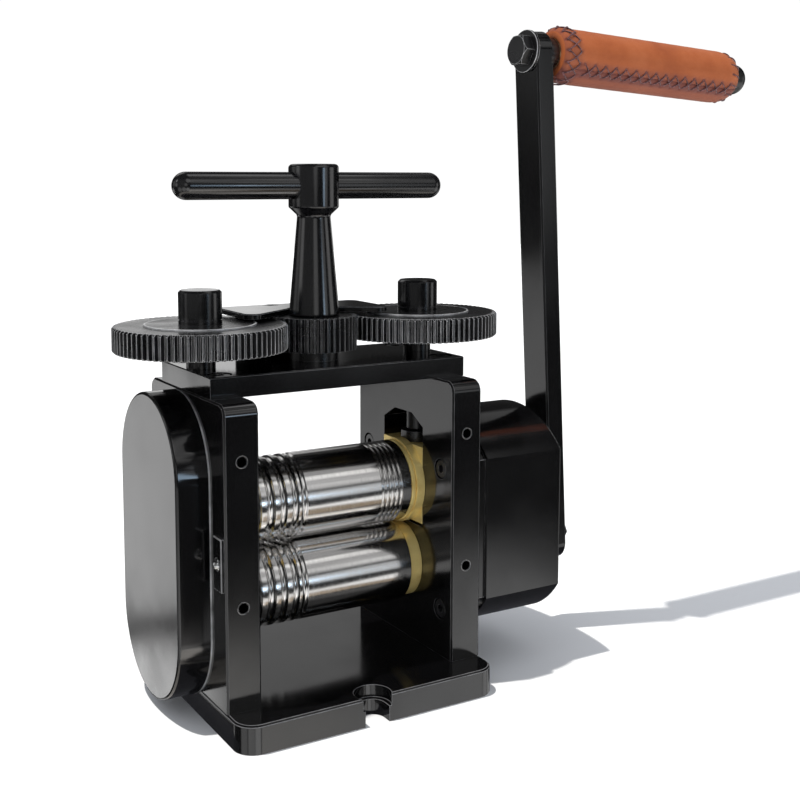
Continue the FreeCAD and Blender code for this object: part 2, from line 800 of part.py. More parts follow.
def centre_pinion():
    tip = centre_pinion_radius + screw_module
    root = centre_pinion_radius - 1.2 * screw_module
    height = pinion_top_z - pinion_bottom_z
    wheel = gear(centre_pinion_teeth, screw_module, tip, root, height, 0.16, 20.0, 2, 0.0)
    wheel = wheel.cut(rod_z(spindle_radius, -1, height + 1, 0, 0))
    return placed(wheel, 0, 0, pinion_bottom_z).cut(pinion_key())


def pinion_bush():
    """Flanged bush that carries the handle's spindle in the top plate."""
    flange_top = pinion_bottom_z - face_gap
    bush = rod_z(pinion_bush_radius, frame_top_z, flange_top, 0, 0)
    bush = bush.fuse(rod_z(pinion_bush_flange_radius, plate_top_z, flange_top, 0, 0)).removeSplitter()
    return bush.cut(rod_z(spindle_radius + running_fit, frame_top_z - 1, flange_top + 1, 0, 0))


def t_handle_stem():
    """Spindle, waisted stem and cross-bored hub, turned in one piece."""
    groove_top = frame_top_z - face_gap
    groove_low = groove_top - retainer_thickness
    neck_z = stem_foot_z + stem_neck_height
    hub_z = neck_z + stem_cone_height
    top_z = hub_z + handle_hub_height
    profile = [
        (groove_low - 2.0, 0),
        (groove_low - 2.0, spindle_radius - 0.5),
        (groove_low - 1.5, spindle_radius),
        (groove_low, spindle_radius),
        (groove_low, spindle_radius - retainer_groove_depth),
        (groove_top, spindle_radius - retainer_groove_depth),
        (groove_top, spindle_radius),
        (stem_foot_z, spindle_radius),
        (stem_foot_z, stem_foot_radius),
        (neck_z, stem_neck_radius),
        (hub_z, handle_hub_radius),
        (top_z, handle_hub_radius),
        (top_z, 0),
    ]
    stem = turned(profile, X_AXIS, Z_AXIS, V(0, 0, 0))
    stem = stem.makeFillet(handle_hub_fillet, edges_on_plane(stem, "z", top_z))
    bar_z = top_z - bar_drop
    stem = stem.cut(rod_x(bar_radius + running_fit, -handle_hub_radius - 1, handle_hub_radius + 1, 0, bar_z))
    stem = stem.cut(rod_z(m4_radius + thread_gap, bar_z, top_z + 1, 0, 0))
    return stem.cut(pinion_key())


def handle_top_z():
    return stem_foot_z + stem_neck_height + stem_cone_height + handle_hub_height


def t_handle_bar():
    z = handle_top_z() - bar_drop
    straight = bar_half_length - bar_radius
    bar = rod_x(bar_radius, -straight, straight, 0, z)
    for x in (-straight, straight):
        bar = bar.fuse(Part.makeSphere(bar_radius, V(x, 0, z)))
    return bar.removeSplitter()


def t_bar_set_screw():
    low = handle_top_z() - bar_drop + bar_radius
    high = handle_top_z() - 0.6
    screw = rod_z(m4_radius, low, high, 0, 0)
    socket = placed(hex_prism(m4_radius * 0.6, 3), 0, 0, high - 1.4)
    return screw.cut(socket)


def spindle_retainer():
    """Ring in the spindle's groove, under the top plate."""
    high = frame_top_z - face_gap
    ring = tube_z(
        retainer_radius, spindle_radius - retainer_groove_depth,
        high - retainer_thickness, high, 0, 0,
    )
    opening = box(-2.0, 2.0, 0, retainer_radius + 1, high - retainer_thickness - 1, high + 1)
    return ring.cut(opening)


# ---------------------------------------------------------------- keeper plate
def sunk_head(gap):
    """Countersunk head under the XY plane, or its seat when given a gap."""
    sink = m4_head_radius - m4_radius
    return Part.makeCone(m4_radius + gap, m4_head_radius + gap, sink, V(0, 0, -sink), Z_AXIS)


def keeper_plate():
    """Bow-tie plate that stops the gears and pinion from lifting, cut away round the stem."""
    waist = stem_foot_radius + keeper_waist_gap
    waist_x = waist * math.cos(math.radians(keeper_waist_deg))
    waist_y = waist * math.sin(math.radians(keeper_waist_deg))
    right = [
        V(waist_x, waist_y, keeper_bottom_z),
        V(keeper_lobe_x, -keeper_lobe_front, keeper_bottom_z),
        V(keeper_half_length, -keeper_lobe_front, keeper_bottom_z),
        V(keeper_half_length, keeper_back_y, keeper_bottom_z),
    ]
    left = [V(-p.x, p.y, p.z) for p in reversed(right)]
    plate = prism(right + left, V(0, 0, keeper_thickness))
    corners = [
        e for e in plate.Edges
        if e.BoundBox.ZLength > keeper_thickness / 2
        and abs(e.BoundBox.XMin) > keeper_lobe_x - 1
        and e.BoundBox.YMin < keeper_back_y + 1
    ]
    plate = plate.makeFillet(keeper_corner_radius, corners)
    plate = plate.cut(rod_z(waist, keeper_bottom_z - 1, keeper_top_z + 1, 0, 0))
    plate = plate.makeChamfer(0.4, edges_on_plane(plate, "z", keeper_top_z))
    for x in (-keeper_screw_x, keeper_screw_x):
        y = keeper_back_y - keeper_post_depth / 2
        plate = plate.cut(rod_z(m4_radius + thread_gap, keeper_bottom_z - 1, keeper_top_z + 1, x, y))
        plate = plate.cut(placed(sunk_head(thread_gap), x, y, keeper_top_z))
    return plate


def keeper_post():
    """Block behind the pinion that carries the keeper plate, its front cut back for the gears."""
    right = [
        V(keeper_post_front_half, keeper_back_y - keeper_post_depth, plate_top_z),
        V(keeper_post_half_width, keeper_back_y - keeper_post_edge, plate_top_z),
        V(keeper_post_half_width, keeper_back_y, plate_top_z),
    ]
    left = [V(-p.x, p.y, p.z) for p in reversed(right)]
    post = prism(right + left, V(0, 0, keeper_bottom_z - plate_top_z))
    for x in (-keeper_screw_x, keeper_screw_x):
        y = keeper_back_y - keeper_post_depth / 2
        post = post.cut(rod_z(m4_radius + thread_gap, plate_top_z - 1, plate_top_z + 8, x, y))
        post = post.cut(rod_z(m4_radius + thread_gap, keeper_bottom_z - 8, keeper_bottom_z + 1, x, y))
    return post


def keeper_screws():
    y = keeper_back_y - keeper_post_depth / 2
    screw = rod_z(m4_radius, -keeper_thickness - 7, 0, 0, 0).fuse(sunk_head(0)).removeSplitter()
    screw = screw.cut(placed(hex_prism(m4_head_radius * socket_share, 2), 0, 0, -1.2))
    return group([placed(screw.copy(), x, y, keeper_top_z) for x in (-keeper_screw_x, keeper_screw_x)])


def keeper_post_screws():
    y = keeper_back_y - keeper_post_depth / 2
    seat = frame_top_z + m4_head_height + 0.2
    length = plate_top_z - seat + 7
    return group([
        placed(pointed(cap_screw(m4_radius, length, m4_head_radius, m4_head_height), "+z"), x, y, seat)
        for x in (-keeper_screw_x, keeper_screw_x)
    ])


# ---------------------------------------------------------------- gearbox
def gearbox_slab(x0, x1, inset):
    """Flat-sided slab with domed top and bottom, drawn in by an inset."""
    half = housing_half_width - inset
    top_radius = housing_top_radius - inset
    bottom_radius = housing_bottom_radius - inset
    top_corner = housing_top_z - housing_top_radius + math.sqrt(top_radius ** 2 - half ** 2)
    bottom_corner = housing_bottom_z + housing_bottom_radius - math.sqrt(bottom_radius ** 2 - half ** 2)
    top = Part.Arc(
        V(x0, half, top_corner), V(x0, 0, housing_top_z - inset), V(x0, -half, top_corner),
    ).toShape()
    bottom = Part.Arc(
        V(x0, -half, bottom_corner), V(x0, 0, housing_bottom_z + inset), V(x0, half, bottom_corner),
    ).toShape()
    front = Part.makeLine(V(x0, -half, top_corner), V(x0, -half, bottom_corner))
    back = Part.makeLine(V(x0, half, bottom_corner), V(x0, half, top_corner))
    return Part.Face(Part.Wire([top, front, bottom, back])).extrude(V(x1 - x0, 0, 0))


def gearbox_back_plate():
    plate = gearbox_slab(frame_outer_x, back_plate_x, back_plate_inset)
    plate = plate.cut(rod_x(journal_radius + 1.0, frame_outer_x - 1, back_plate_x + 1, 0, lower_axis_z))
    plate = plate.cut(rod_x(layshaft_bush_radius, frame_outer_x + 1, back_plate_x + 1, 0, layshaft_z))
    for y in (-gearbox_screw_y, gearbox_screw_y):
        for z in gearbox_screw_zs:
            plate = plate.cut(rod_x(m5_radius + thread_gap, frame_outer_x - 1, back_plate_x + 1, y, z))
    return plate


def gearbox_housing():
    shell = gearbox_slab(back_plate_x, housing_end_x, 0)
    shell = shell.makeFillet(edge_bevel, edges_on_plane(shell, "x", housing_end_x))
    shell = shell.cut(gearbox_slab(back_plate_x - 1, housing_inner_x, housing_wall))
    outline = gearbox_slab(back_plate_x, housing_end_x - 1, housing_wall / 2)
    for y in (-gearbox_screw_y, gearbox_screw_y):
        for z in gearbox_screw_zs:
            boss = rod_x(housing_boss_radius, back_plate_x, back_plate_x + housing_boss_height, y, z)
            shell = shell.fuse(boss.common(outline))
    shell = shell.fuse(rod_x(crank_bush_radius + shaft_boss_wall, inner_boss_x, housing_end_x - 1, 0, lower_axis_z))
    shell = shell.fuse(rod_x(layshaft_bush_radius + shaft_boss_wall, inner_boss_x, housing_end_x - 1, 0, layshaft_z))
    shell = shell.removeSplitter()
    shell = shell.cut(rod_x(crank_bush_radius, inner_boss_x - 1, housing_end_x + 1, 0, lower_axis_z))
    shell = shell.cut(rod_x(layshaft_bush_radius, inner_boss_x - 1, housing_inner_x + 1, 0, layshaft_z))
    for y in (-gearbox_screw_y, gearbox_screw_y):
        for z in gearbox_screw_zs:
            hole = rod_x(m5_radius + thread_gap, back_plate_x - 1, back_plate_x + housing_boss_height - 1, y, z)
            shell = shell.cut(hole)
    return shell


def gearbox_screws():
    seat_x = frame_inner_x + m5_head_height + face_gap
    length = back_plate_x + housing_boss_height - 2 - seat_x
    return group([
        placed(pointed(cap_screw(m5_radius, length, m5_head_radius, m5_head_height), "+x"), seat_x, y, z)
        for y in (-gearbox_screw_y, gearbox_screw_y)
        for z in gearbox_screw_zs
    ])


def drive_gear_blank(teeth, width, tooth_at_deg):
    """Reduction gear on the Z axis, with standard tooth heights."""
    pitch = drive_module * teeth / 2
    return gear(
        teeth, drive_module, pitch + drive_module, pitch - 1.25 * drive_module,
        width, 0.3, 20.0, 3, tooth_at_deg,
    )


def keyed_gear(teeth, width, tooth_at_deg, bore, x, z):
    wheel = drive_gear_blank(teeth, width, tooth_at_deg)
    wheel = on_x_axis(wheel.cut(rod_z(bore, -1, width + 1, 0, 0)), x, z)
    return wheel.cut(key_seat_x(x, x + width, bore, z))


def drive_gear():
    return keyed_gear(wheel_teeth, wheel_width, 90.0, stub_radius, drive_wheel_x, lower_axis_z)


def layshaft_pinion():
    half_tooth = 180.0 / drive_pinion_teeth
    return keyed_gear(
        drive_pinion_teeth, drive_pinion_width, -90.0 + half_tooth,
        layshaft_radius, drive_wheel_x - 0.5, layshaft_z,
    )


def layshaft_gear():
    return keyed_gear(wheel_teeth, wheel_width, -90.0, layshaft_radius, input_wheel_x, layshaft_z)


def crank_pinion():
    half_tooth = 180.0 / drive_pinion_teeth
    return keyed_gear(
        drive_pinion_teeth, drive_pinion_width, 90.0 + half_tooth,
        crank_shaft_radius, input_wheel_x - 0.5, lower_axis_z,
    )


def layshaft_keys():
    return group([
        key_seat_x(drive_wheel_x - 0.5, drive_wheel_x - 0.5 + drive_pinion_width, layshaft_radius, layshaft_z),
        key_seat_x(input_wheel_x, input_wheel_end_x, layshaft_radius, layshaft_z),
    ])


def layshaft():
    shaft = rod_x(layshaft_radius, frame_outer_x + 1.3, housing_inner_x + 0.7, 0, layshaft_z)
    return shaft.cut(layshaft_keys())


def layshaft_bushes():
    bore = layshaft_radius + running_fit
    return group([
        tube_x(layshaft_bush_radius, bore, frame_outer_x + 1, back_plate_x, 0, layshaft_z),
        tube_x(layshaft_bush_radius, bore, inner_boss_x, housing_inner_x + 1, 0, layshaft_z),
    ])


def crank_bush():
    bore = crank_shaft_radius + running_fit
    return tube_x(crank_bush_radius, bore, inner_boss_x, housing_end_x + 0.5, 0, lower_axis_z)


def crank_pinion_key():
    return key_seat_x(input_wheel_x - 0.5, input_wheel_x - 0.5 + drive_pinion_width, crank_shaft_radius, lower_axis_z)


# ---------------------------------------------------------------- crank and grip
arm_outer_x = arm_x + arm_thickness / math.cos(math.radians(arm_lean_deg))
collar_end_x = arm_x - collar_radius * math.tan(math.radians(arm_lean_deg)) - 0.1
crank_washer_x = arm_outer_x - 0.5
crank_nut_x = crank_washer_x + crank_washer_thickness
crank_shaft_end_x = crank_nut_x + crank_nut_height - 0.3


def crank_key():
    half = key_width / 2
    inset = 1.5
    return box(
        arm_x + inset, arm_outer_x - inset, -half, half,
        lower_axis_z - crank_seat_radius - key_height, lower_axis_z - crank_seat_radius + key_height,
    )


def crank_shaft():
    low = lower_end_x + 2.0
    shaft = rod_x(crank_shaft_radius, low, collar_end_x, 0, lower_axis_z)
    shaft = shaft.fuse(rod_x(crank_seat_radius, collar_end_x, crank_nut_x, 0, lower_axis_z))
    shaft = shaft.fuse(rod_x(crank_thread_radius, crank_nut_x, crank_shaft_end_x, 0, lower_axis_z)).removeSplitter()
    return shaft.cut(crank_pinion_key()).cut(crank_key())


def crank_collar():
    """Spacer between the gearbox and the arm."""
    start = housing_end_x + 0.5 + face_gap
    return tube_x(collar_radius, crank_shaft_radius, start, collar_end_x, 0, lower_axis_z)


def on_grip_axis(shape):
    """Carries a piece from the X axis at the origin to the grip's drooping axis."""
    shape.rotate(V(0, 0, 0), Y_AXIS, grip_droop_deg)
    shape.translate(V(grip_x, 0, grip_z))
    return shape


def crank_arm():
    """Flat round-ended arm that leans in towards the mill, spot faced at the shaft and the grip."""
    top = rod_x(arm_width / 2, 0, arm_thickness, 0, arm_length)
    low = rod_x(arm_width / 2, 0, arm_thickness, 0, -arm_end_drop)
    web = box(0, arm_thickness, -arm_width / 2, arm_width / 2, -arm_end_drop, arm_length)
    arm = top.fuse(web).fuse(low).removeSplitter()
    outline = edges_on_plane(arm, "x", 0) + edges_on_plane(arm, "x", arm_thickness)
    arm = arm.makeChamfer(edge_bevel, outline)
    arm.rotate(V(0, 0, 0), Y_AXIS, -arm_lean_deg)
    arm.translate(V(arm_x, 0, lower_axis_z))
    arm = arm.cut(rod_x(crank_seat_radius, arm_x - 5, arm_outer_x + 5, 0, lower_axis_z)).cut(crank_key())
    arm = arm.cut(rod_x(crank_washer_radius + 0.4, crank_washer_x, arm_outer_x + 5, 0, lower_axis_z))
    seat = washer_radius + 0.4
    arm = arm.cut(on_grip_axis(rod_x(grip_spindle_radius + 0.05, -5, arm_thickness + 5, 0, 0)))
    arm = arm.cut(on_grip_axis(rod_x(seat, -5, spot_face_depth, 0, 0)))
    return arm.cut(on_grip_axis(rod_x(seat, arm_thickness - spot_face_depth, arm_thickness + 5, 0, 0)))


def crank_washer():
    return tube_x(crank_washer_radius, crank_seat_radius + 0.1, crank_washer_x, crank_nut_x, 0, lower_axis_z)


def crank_nut():
    """Thin nut that holds the arm on the shaft."""
    nut = hex_prism(crank_nut_radius, crank_nut_height)
    nut = nut.cut(rod_z(crank_thread_radius, -1, crank_nut_height + 1, 0, 0))
    return on_x_axis(nut, crank_nut_x, lower_axis_z)


def grip_spindle():
    """Hex-headed bolt that carries the grip."""
    head_end = spot_face_depth - washer_thickness
    head = hex_prism(bolt_head_radius, bolt_head_height)
    dome = turned(
        [(0, 0), (0, bolt_head_radius - 1.1), (1.0, bolt_head_radius), (bolt_head_height, bolt_head_radius),
         (bolt_head_height, 0)],
        X_AXIS, Z_AXIS, V(0, 0, 0),
    )
    head = on_x_axis(head.common(dome), head_end - bolt_head_height, 0)
    shank = rod_x(grip_spindle_radius, head_end, grip_start + grip_length + end_nut_length - 2.5, 0, 0)
    return on_grip_axis(head.fuse(shank).removeSplitter())


def grip_washer():
    start = spot_face_depth - washer_thickness
    return on_grip_axis(tube_x(washer_radius, grip_spindle_radius, start, spot_face_depth, 0, 0))


def grip_collar():
    start = arm_thickness - spot_face_depth
    return on_grip_axis(tube_x(grip_collar_radius, grip_spindle_radius, start, grip_start - 0.2, 0, 0))


def grip_core():
    start = grip_start + leather_lip
    end = grip_start + grip_length - grip_round_length
    core = tube_x(grip_radius - leather_thickness, grip_spindle_radius + 0.1, start, end, 0, 0)
    return on_grip_axis(core)


def leather_sleeve():
    """Stitched leather round the core, closed in over both ends."""
    end = grip_start + grip_length
    profile = [(grip_start, 0), (grip_start, grip_radius - 1.0), (grip_start + 1.0, grip_radius)]
    for i in range(7):
        turn = math.radians(15 * i)
        along = end - grip_round_length * (1 - math.sin(turn))
        profile.append((along, grip_radius - grip_round_depth * (1 - math.cos(turn))))
    profile.append((end, 0))
    sleeve = turned(profile, Z_AXIS, X_AXIS, V(0, 0, 0))
    core = rod_x(grip_radius - leather_thickness, grip_start + leather_lip, end - grip_round_length, 0, 0)
    hole = rod_x(grip_hole_radius, 0, end + 1, 0, 0)
    return on_grip_axis(sleeve.cut(core).cut(hole))


def grip_end_nut():
    """Domed nut on the spindle's free end."""
    start = grip_start + grip_length + 0.2
    nut = rod_x(end_nut_radius, start, start + end_nut_length, 0, 0)
    nut = nut.makeFillet(end_nut_round, edges_on_plane(nut, "x", start + end_nut_length))
    return on_grip_axis(nut.cut(rod_x(grip_spindle_radius, 0, start + end_nut_length - 2.7, 0, 0)))


# ---------------------------------------------------------------- build
def nodes():
    half_tooth = 180.0 / sync_teeth
    gap_deg = 180.0 / screw_gear_teeth
    sync_key = key_seat_x(*sync_key_span, stub_radius, 0)
    drive_gear_key = key_seat_x(drive_wheel_x, drive_wheel_end_x, stub_radius, lower_axis_z)
    return {
        "base_plate": base_plate(),
        "frame_screws": group([base_screws(), top_plate_screws()]),
        "left_side_frame": left_side_frame(),
        "right_side_frame": right_side_frame(),
        "lower_bushes": group([mirror_x(lower_bush()), lower_bush()]),
        "left_upper_block": mirror_x(upper_block()),
        "right_upper_block": upper_block(),
        "upper_thrust_rings": thrust_rings(),
        "thrust_pads": thrust_pads(),
        "lift_springs": lift_springs(),
        "upper_roll": upper_roll(),
        "lower_roll": lower_roll(),
        "upper_sync_gear": sync_gear(upper_axis_z, -90.0 + half_tooth),
        "lower_sync_gear": sync_gear(lower_axis_z, 90.0),
        "upper_sync_key": placed(sync_key.copy(), 0, 0, upper_axis_z),
        "lower_roll_keys": group([placed(sync_key.copy(), 0, 0, lower_axis_z), drive_gear_key]),
        "left_gear_cover": left_gear_cover(),
        "side_cover_screws": group([cover_screws(), gearbox_screws()]),
        "oiler_plate": oiler_plate(),
        "ball_oiler": ball_oiler(),
        "top_plate": top_plate(),
        "left_pressure_screw": pressure_screw(-gear_x),
        "right_pressure_screw": pressure_screw(gear_x),
        "left_screw_key": screw_key(-gear_x),
        "right_screw_key": screw_key(gear_x),
        "left_gear_hub": gear_hub(-gear_x),
        "right_gear_hub": gear_hub(gear_x),
        "left_screw_gear": screw_gear(-gear_x, gap_deg),
        "right_screw_gear": screw_gear(gear_x, gap_deg),
        "centre_pinion": centre_pinion(),
        "pinion_key": pinion_key(),
        "pinion_bush": pinion_bush(),
        "spindle_retainer": spindle_retainer(),
        "t_handle_stem": t_handle_stem(),
        "t_handle_bar": t_handle_bar(),
        "t_bar_set_screw": t_bar_set_screw(),
        "keeper_plate": keeper_plate(),
        "keeper_post": keeper_post(),
        "keeper_screws": group([keeper_screws(), keeper_post_screws()]),
        "gearbox_back_plate": gearbox_back_plate(),
        "gearbox_housing": gearbox_housing(),
        "drive_gear": drive_gear(),
        "layshaft": layshaft(),
        "layshaft_pinion": layshaft_pinion(),
        "layshaft_gear": layshaft_gear(),
        "layshaft_keys": layshaft_keys(),
        "layshaft_bushes": layshaft_bushes(),
        "crank_bush": crank_bush(),
        "crank_shaft": crank_shaft(),
        "crank_pinion": crank_pinion(),
        "crank_assembly_keys": group([crank_pinion_key(), crank_key()]),
        "crank_collar": crank_collar(),
        "crank_arm": crank_arm(),
        "crank_washers": group([crank_washer(), grip_washer()]),
        "crank_nut": crank_nut(),
        "grip_spindle": grip_spindle(),
        "grip_collar": grip_collar(),
        "grip_core": grip_core(),
        "leather_sleeve": leather_sleeve(),
        "grip_end_nut": grip_end_nut(),
    }


os.makedirs("parts", exist_ok=True)
for name, shape in nodes().items():
    shape.exportStep(f"parts/{name}.step")
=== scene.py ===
"""Jewellers' rolling mill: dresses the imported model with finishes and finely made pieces, in a studio."""

import json
import logging
import math
from dataclasses import dataclass, field
from enum import Enum

import bpy
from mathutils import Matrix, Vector

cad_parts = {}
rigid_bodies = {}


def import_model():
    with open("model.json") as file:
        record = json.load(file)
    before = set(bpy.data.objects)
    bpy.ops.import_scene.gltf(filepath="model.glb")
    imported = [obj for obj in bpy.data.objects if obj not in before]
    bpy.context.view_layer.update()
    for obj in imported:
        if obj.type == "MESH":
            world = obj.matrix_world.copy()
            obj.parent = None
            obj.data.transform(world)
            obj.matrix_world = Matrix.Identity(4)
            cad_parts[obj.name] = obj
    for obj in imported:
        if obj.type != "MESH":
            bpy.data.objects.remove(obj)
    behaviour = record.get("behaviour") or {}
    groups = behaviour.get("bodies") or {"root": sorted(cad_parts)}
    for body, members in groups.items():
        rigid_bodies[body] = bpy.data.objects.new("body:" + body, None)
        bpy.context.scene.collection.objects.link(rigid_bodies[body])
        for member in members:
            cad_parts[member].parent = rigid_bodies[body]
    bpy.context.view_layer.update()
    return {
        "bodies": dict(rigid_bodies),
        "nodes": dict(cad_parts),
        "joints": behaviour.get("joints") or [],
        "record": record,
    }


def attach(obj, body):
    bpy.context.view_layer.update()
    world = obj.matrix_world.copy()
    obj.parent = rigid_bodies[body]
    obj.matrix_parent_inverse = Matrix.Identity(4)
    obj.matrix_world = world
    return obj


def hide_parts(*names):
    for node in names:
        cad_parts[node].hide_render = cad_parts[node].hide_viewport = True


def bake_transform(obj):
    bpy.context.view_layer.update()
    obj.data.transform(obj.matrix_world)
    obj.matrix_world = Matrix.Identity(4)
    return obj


log = logging.getLogger("rolling_mill")

MM = 0.001  # metres; the pieces' sizes and places are in millimetres
WELD = 0.0000004  # metres within which a turned piece's corners are one
RECAST_WELD = 0.0000015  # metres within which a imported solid's corners are one
FLAT_DEG = 0.4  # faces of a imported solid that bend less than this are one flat
SOLID_DEG = 38.0  # edges of a solid sharper than this are shaded sharp

Colour = tuple[float, float, float]
Curve = tuple[tuple[float, float], ...]
Profile = list[tuple[float, float]]
Range = tuple[float, float]
Stretch = tuple[float, float, float]
Piece = bpy.types.Object
Socket = bpy.types.NodeSocket
Inputs = dict[object, object]


class Axis(Enum):
    """The frame's three directions."""

    X = (1.0, 0.0, 0.0)
    Y = (0.0, 1.0, 0.0)
    Z = (0.0, 0.0, 1.0)

    def way(self) -> Vector:
        """Gives the direction as a vector."""
        return Vector(self.value)


class Side(Enum):
    """The mill's two sides, each with its sign along X."""

    LEFT = -1.0
    RIGHT = 1.0

    def named(self, part: str) -> str:
        """Gives the name of a part on this side."""
        return f"{self.name.lower()}_{part}"


class Coat(Enum):
    """The finishes by name; the nodes' ones are the record's material slots."""

    PAINT = "gloss_black_paint"
    BLACK = "black_steel"
    GLOSSY = "polished_black_steel"
    # the two edge finishes are lighter: part wear, part painted highlight
    PAINT_EDGE = "rubbed_paint_edge"
    STEEL_EDGE = "rubbed_steel_edge"
    ROLL = "polished_roll_steel"
    BRASS = "brass"
    BRIGHT = "bright_steel"
    LEATHER = "tan_leather"
    BEECH = "beech"
    CHROME = "chrome_ball"
    THREAD = "grip_thread"


@dataclass(frozen=True)
class Grain:
    """A noise pattern: waves per metre, octaves of finer noise, their strength, and its stretch."""

    scale: float
    detail: float = 3.0
    rough: float = 0.55
    stretch: Stretch = (1.0, 1.0, 1.0)


@dataclass(frozen=True)
class Relief:
    """Fine relief: its depth in metres and how strongly it shows."""

    depth: float
    strength: float


@dataclass(frozen=True)
class Edge:
    """Rounding of edges: width in millimetres, faces across it, and the angle above which it is made."""

    width: float
    segments: int = 3
    limit_deg: float = 32.0


class Shade:
    """A material under construction, with short calls to add nodes and to join them."""

    WEAR = Grain(240.0, 4.0, 0.65)
    WEAR_RANGE = (0.42, 0.62)
    BEND_RANGE = (0.80, 0.985)

    def __init__(self, name: str) -> None:
        """Starts a material that holds one principled shader.

        Args:
            name: the finish's name.
        """
        self.material = bpy.data.materials.new(name)
        self.material.use_nodes = True
        self.tree = self.material.node_tree
        self.shader = self.tree.nodes["Principled BSDF"]
        self.places: dict[Stretch, Socket] = {}

    def set(self, **sockets: object) -> None:
        """Sets the shader's own sockets.

        Args:
            **sockets: socket names, with underscores for spaces, and their values.
        """
        for name, value in sockets.items():
            self.shader.inputs[name.replace("_", " ")].default_value = value

    def node(self, kind: str, inputs: Inputs | None = None, **settings: object) -> bpy.types.Node:
        """Adds a node.

        Args:
            kind: the node's type name, without the ShaderNode part.
            inputs: values or output sockets for its inputs, by name or number.
            **settings: its plain settings.

        Returns:
            The new node.
        """
        made = self.tree.nodes.new("ShaderNode" + kind)
        for name, value in settings.items():
            setattr(made, name, value)
        for name, value in (inputs or {}).items():
            if isinstance(value, Socket):
                self.tree.links.new(value, made.inputs[name])
            else:
                made.inputs[name].default_value = value
        return made

    def join(self, source: Socket, socket: str) -> None:
        """Joins an output to one of the shader's sockets."""
        self.tree.links.new(source, self.shader.inputs[socket])

    def place(self, stretch: Stretch = (1.0, 1.0, 1.0)) -> Socket:
        """Gives the surface's place in the frame, in metres.

        Args:
            stretch: factors along X, Y and Z.

        Returns:
            The output socket of the stretched coordinates.
        """
        if stretch not in self.places:
            where = self.node("TexCoord").outputs["Object"]
            self.places[stretch] = self.node("Mapping", {"Vector": where, "Scale": stretch}).outputs["Vector"]
        return self.places[stretch]

    def noise(self, grain: Grain) -> Socket:
        """Adds a noise pattern.

        Args:
            grain: the pattern.

        Returns:
            The noise value's output socket.
        """
        inputs = {"Scale": grain.scale, "Detail": grain.detail, "Roughness": grain.rough}
        return self.node("TexNoise", {"Vector": self.place(grain.stretch), **inputs}).outputs["Fac"]

    def spread(self, value: Socket, low: float, high: float, start: float = 0.3, end: float = 0.7) -> Socket:
        """Maps a pattern's middle part onto a range.

        Args:
            value: the pattern.
            low: result at its start.
            high: result at its end.
            start: pattern value that gives low.
            end: pattern value that gives high.

        Returns:
            The mapped output socket.
        """
        inputs = {"Value": value, "From Min": start, "From Max": end, "To Min": low, "To Max": high}
        return self.node("MapRange", inputs, clamp=True).outputs["Result"]

    def colours(self, value: Socket, *stops: tuple[float, Colour]) -> Socket:
        """Turns a pattern into colours.

        Args:
            value: the pattern.
            *stops: pattern values with their linear colours.

        Returns:
            The colour's output socket.
        """
        ramp = self.node("ValToRGB", {"Fac": value})
        band = ramp.color_ramp
        while len(band.elements) < len(stops):
            band.elements.new(0.5)
        for element, (at, colour) in zip(band.elements, stops):
            element.position = at
            element.color = (*colour, 1.0)
        return ramp.outputs["Color"]

    def mix(self, share: Socket, under: Socket, over: Colour) -> Socket:
        """Lays an even colour over others.

        Args:
            share: how much of the even colour shows, from 0 to 1.
            under: the other colours.
            over: the even colour.

        Returns:
            The mixed colour's output socket.
        """
        mixed = self.node("Mix", {"Factor": share, "A": under, "B": (*over, 1.0)}, data_type="RGBA")
        return mixed.outputs["Result"]

    def bump(self, height: Socket, relief: Relief, under: Socket | None = None) -> Socket:
        """Adds relief.

        Args:
            height: the pattern that stands up.
            relief: its depth and strength.
            under: another relief below it.

        Returns:
            The normal's output socket.
        """
        inputs: Inputs = {"Height": height, "Distance": relief.depth, "Strength": relief.strength}
        if under is not None:
            inputs["Normal"] = under
        return self.node("Bump", inputs).outputs["Normal"]

    def edge_wear_highlight_mask(self, reach: float) -> Socket:
        """Finds the surface near sharp edges, broken up as by handling; the finishes lighten it, part as wear
        and part as painted highlight.

        Args:
            reach: width of the lighter edge band in metres.

        Returns:
            A value of 1 on the lighter edges and 0 elsewhere.
        """
        soft = self.node("Bevel", {"Radius": reach}, samples=4).outputs["Normal"]
        flat = self.node("NewGeometry").outputs["Normal"]
        dot = self.node("VectorMath", {0: soft, 1: flat}, operation="DOT_PRODUCT").outputs["Value"]
        edge = self.spread(dot, 1.0, 0.0, *self.BEND_RANGE)
        broken = self.spread(self.noise(self.WEAR), 0.0, 1.0, *self.WEAR_RANGE)
        return self.node("Math", {0: edge, 1: broken}, operation="MULTIPLY").outputs["Value"]


@dataclass(frozen=True)
class Clouded:
    """A finish whose colour and roughness follow one cloudy pattern, with values from each finish on it."""

    coat: Coat
    low: Colour
    high: Colour
    rough: Range
    cloud: Grain
    stops: Range = (0.3, 0.7)
    metallic: float = 0.0
    specular: float = 0.5
    relief: Relief | None = None
    marks: Grain | None = None

    def make(self) -> bpy.types.Material:
        """Makes the material, with relief by its own marks or else by the cloud.

        Returns:
            The material.
        """
        shade = Shade(self.coat.value)
        cloud = shade.noise(self.cloud)
        shade.join(shade.colours(cloud, (self.stops[0], self.low), (self.stops[1], self.high)), "Base Color")
        shade.join(shade.spread(cloud, *self.rough), "Roughness")
        if self.relief:
            height = shade.noise(self.marks) if self.marks else cloud
            shade.join(shade.bump(height, self.relief), "Normal")
        shade.set(Metallic=self.metallic, Specular_IOR_Level=self.specular)
        return shade.material


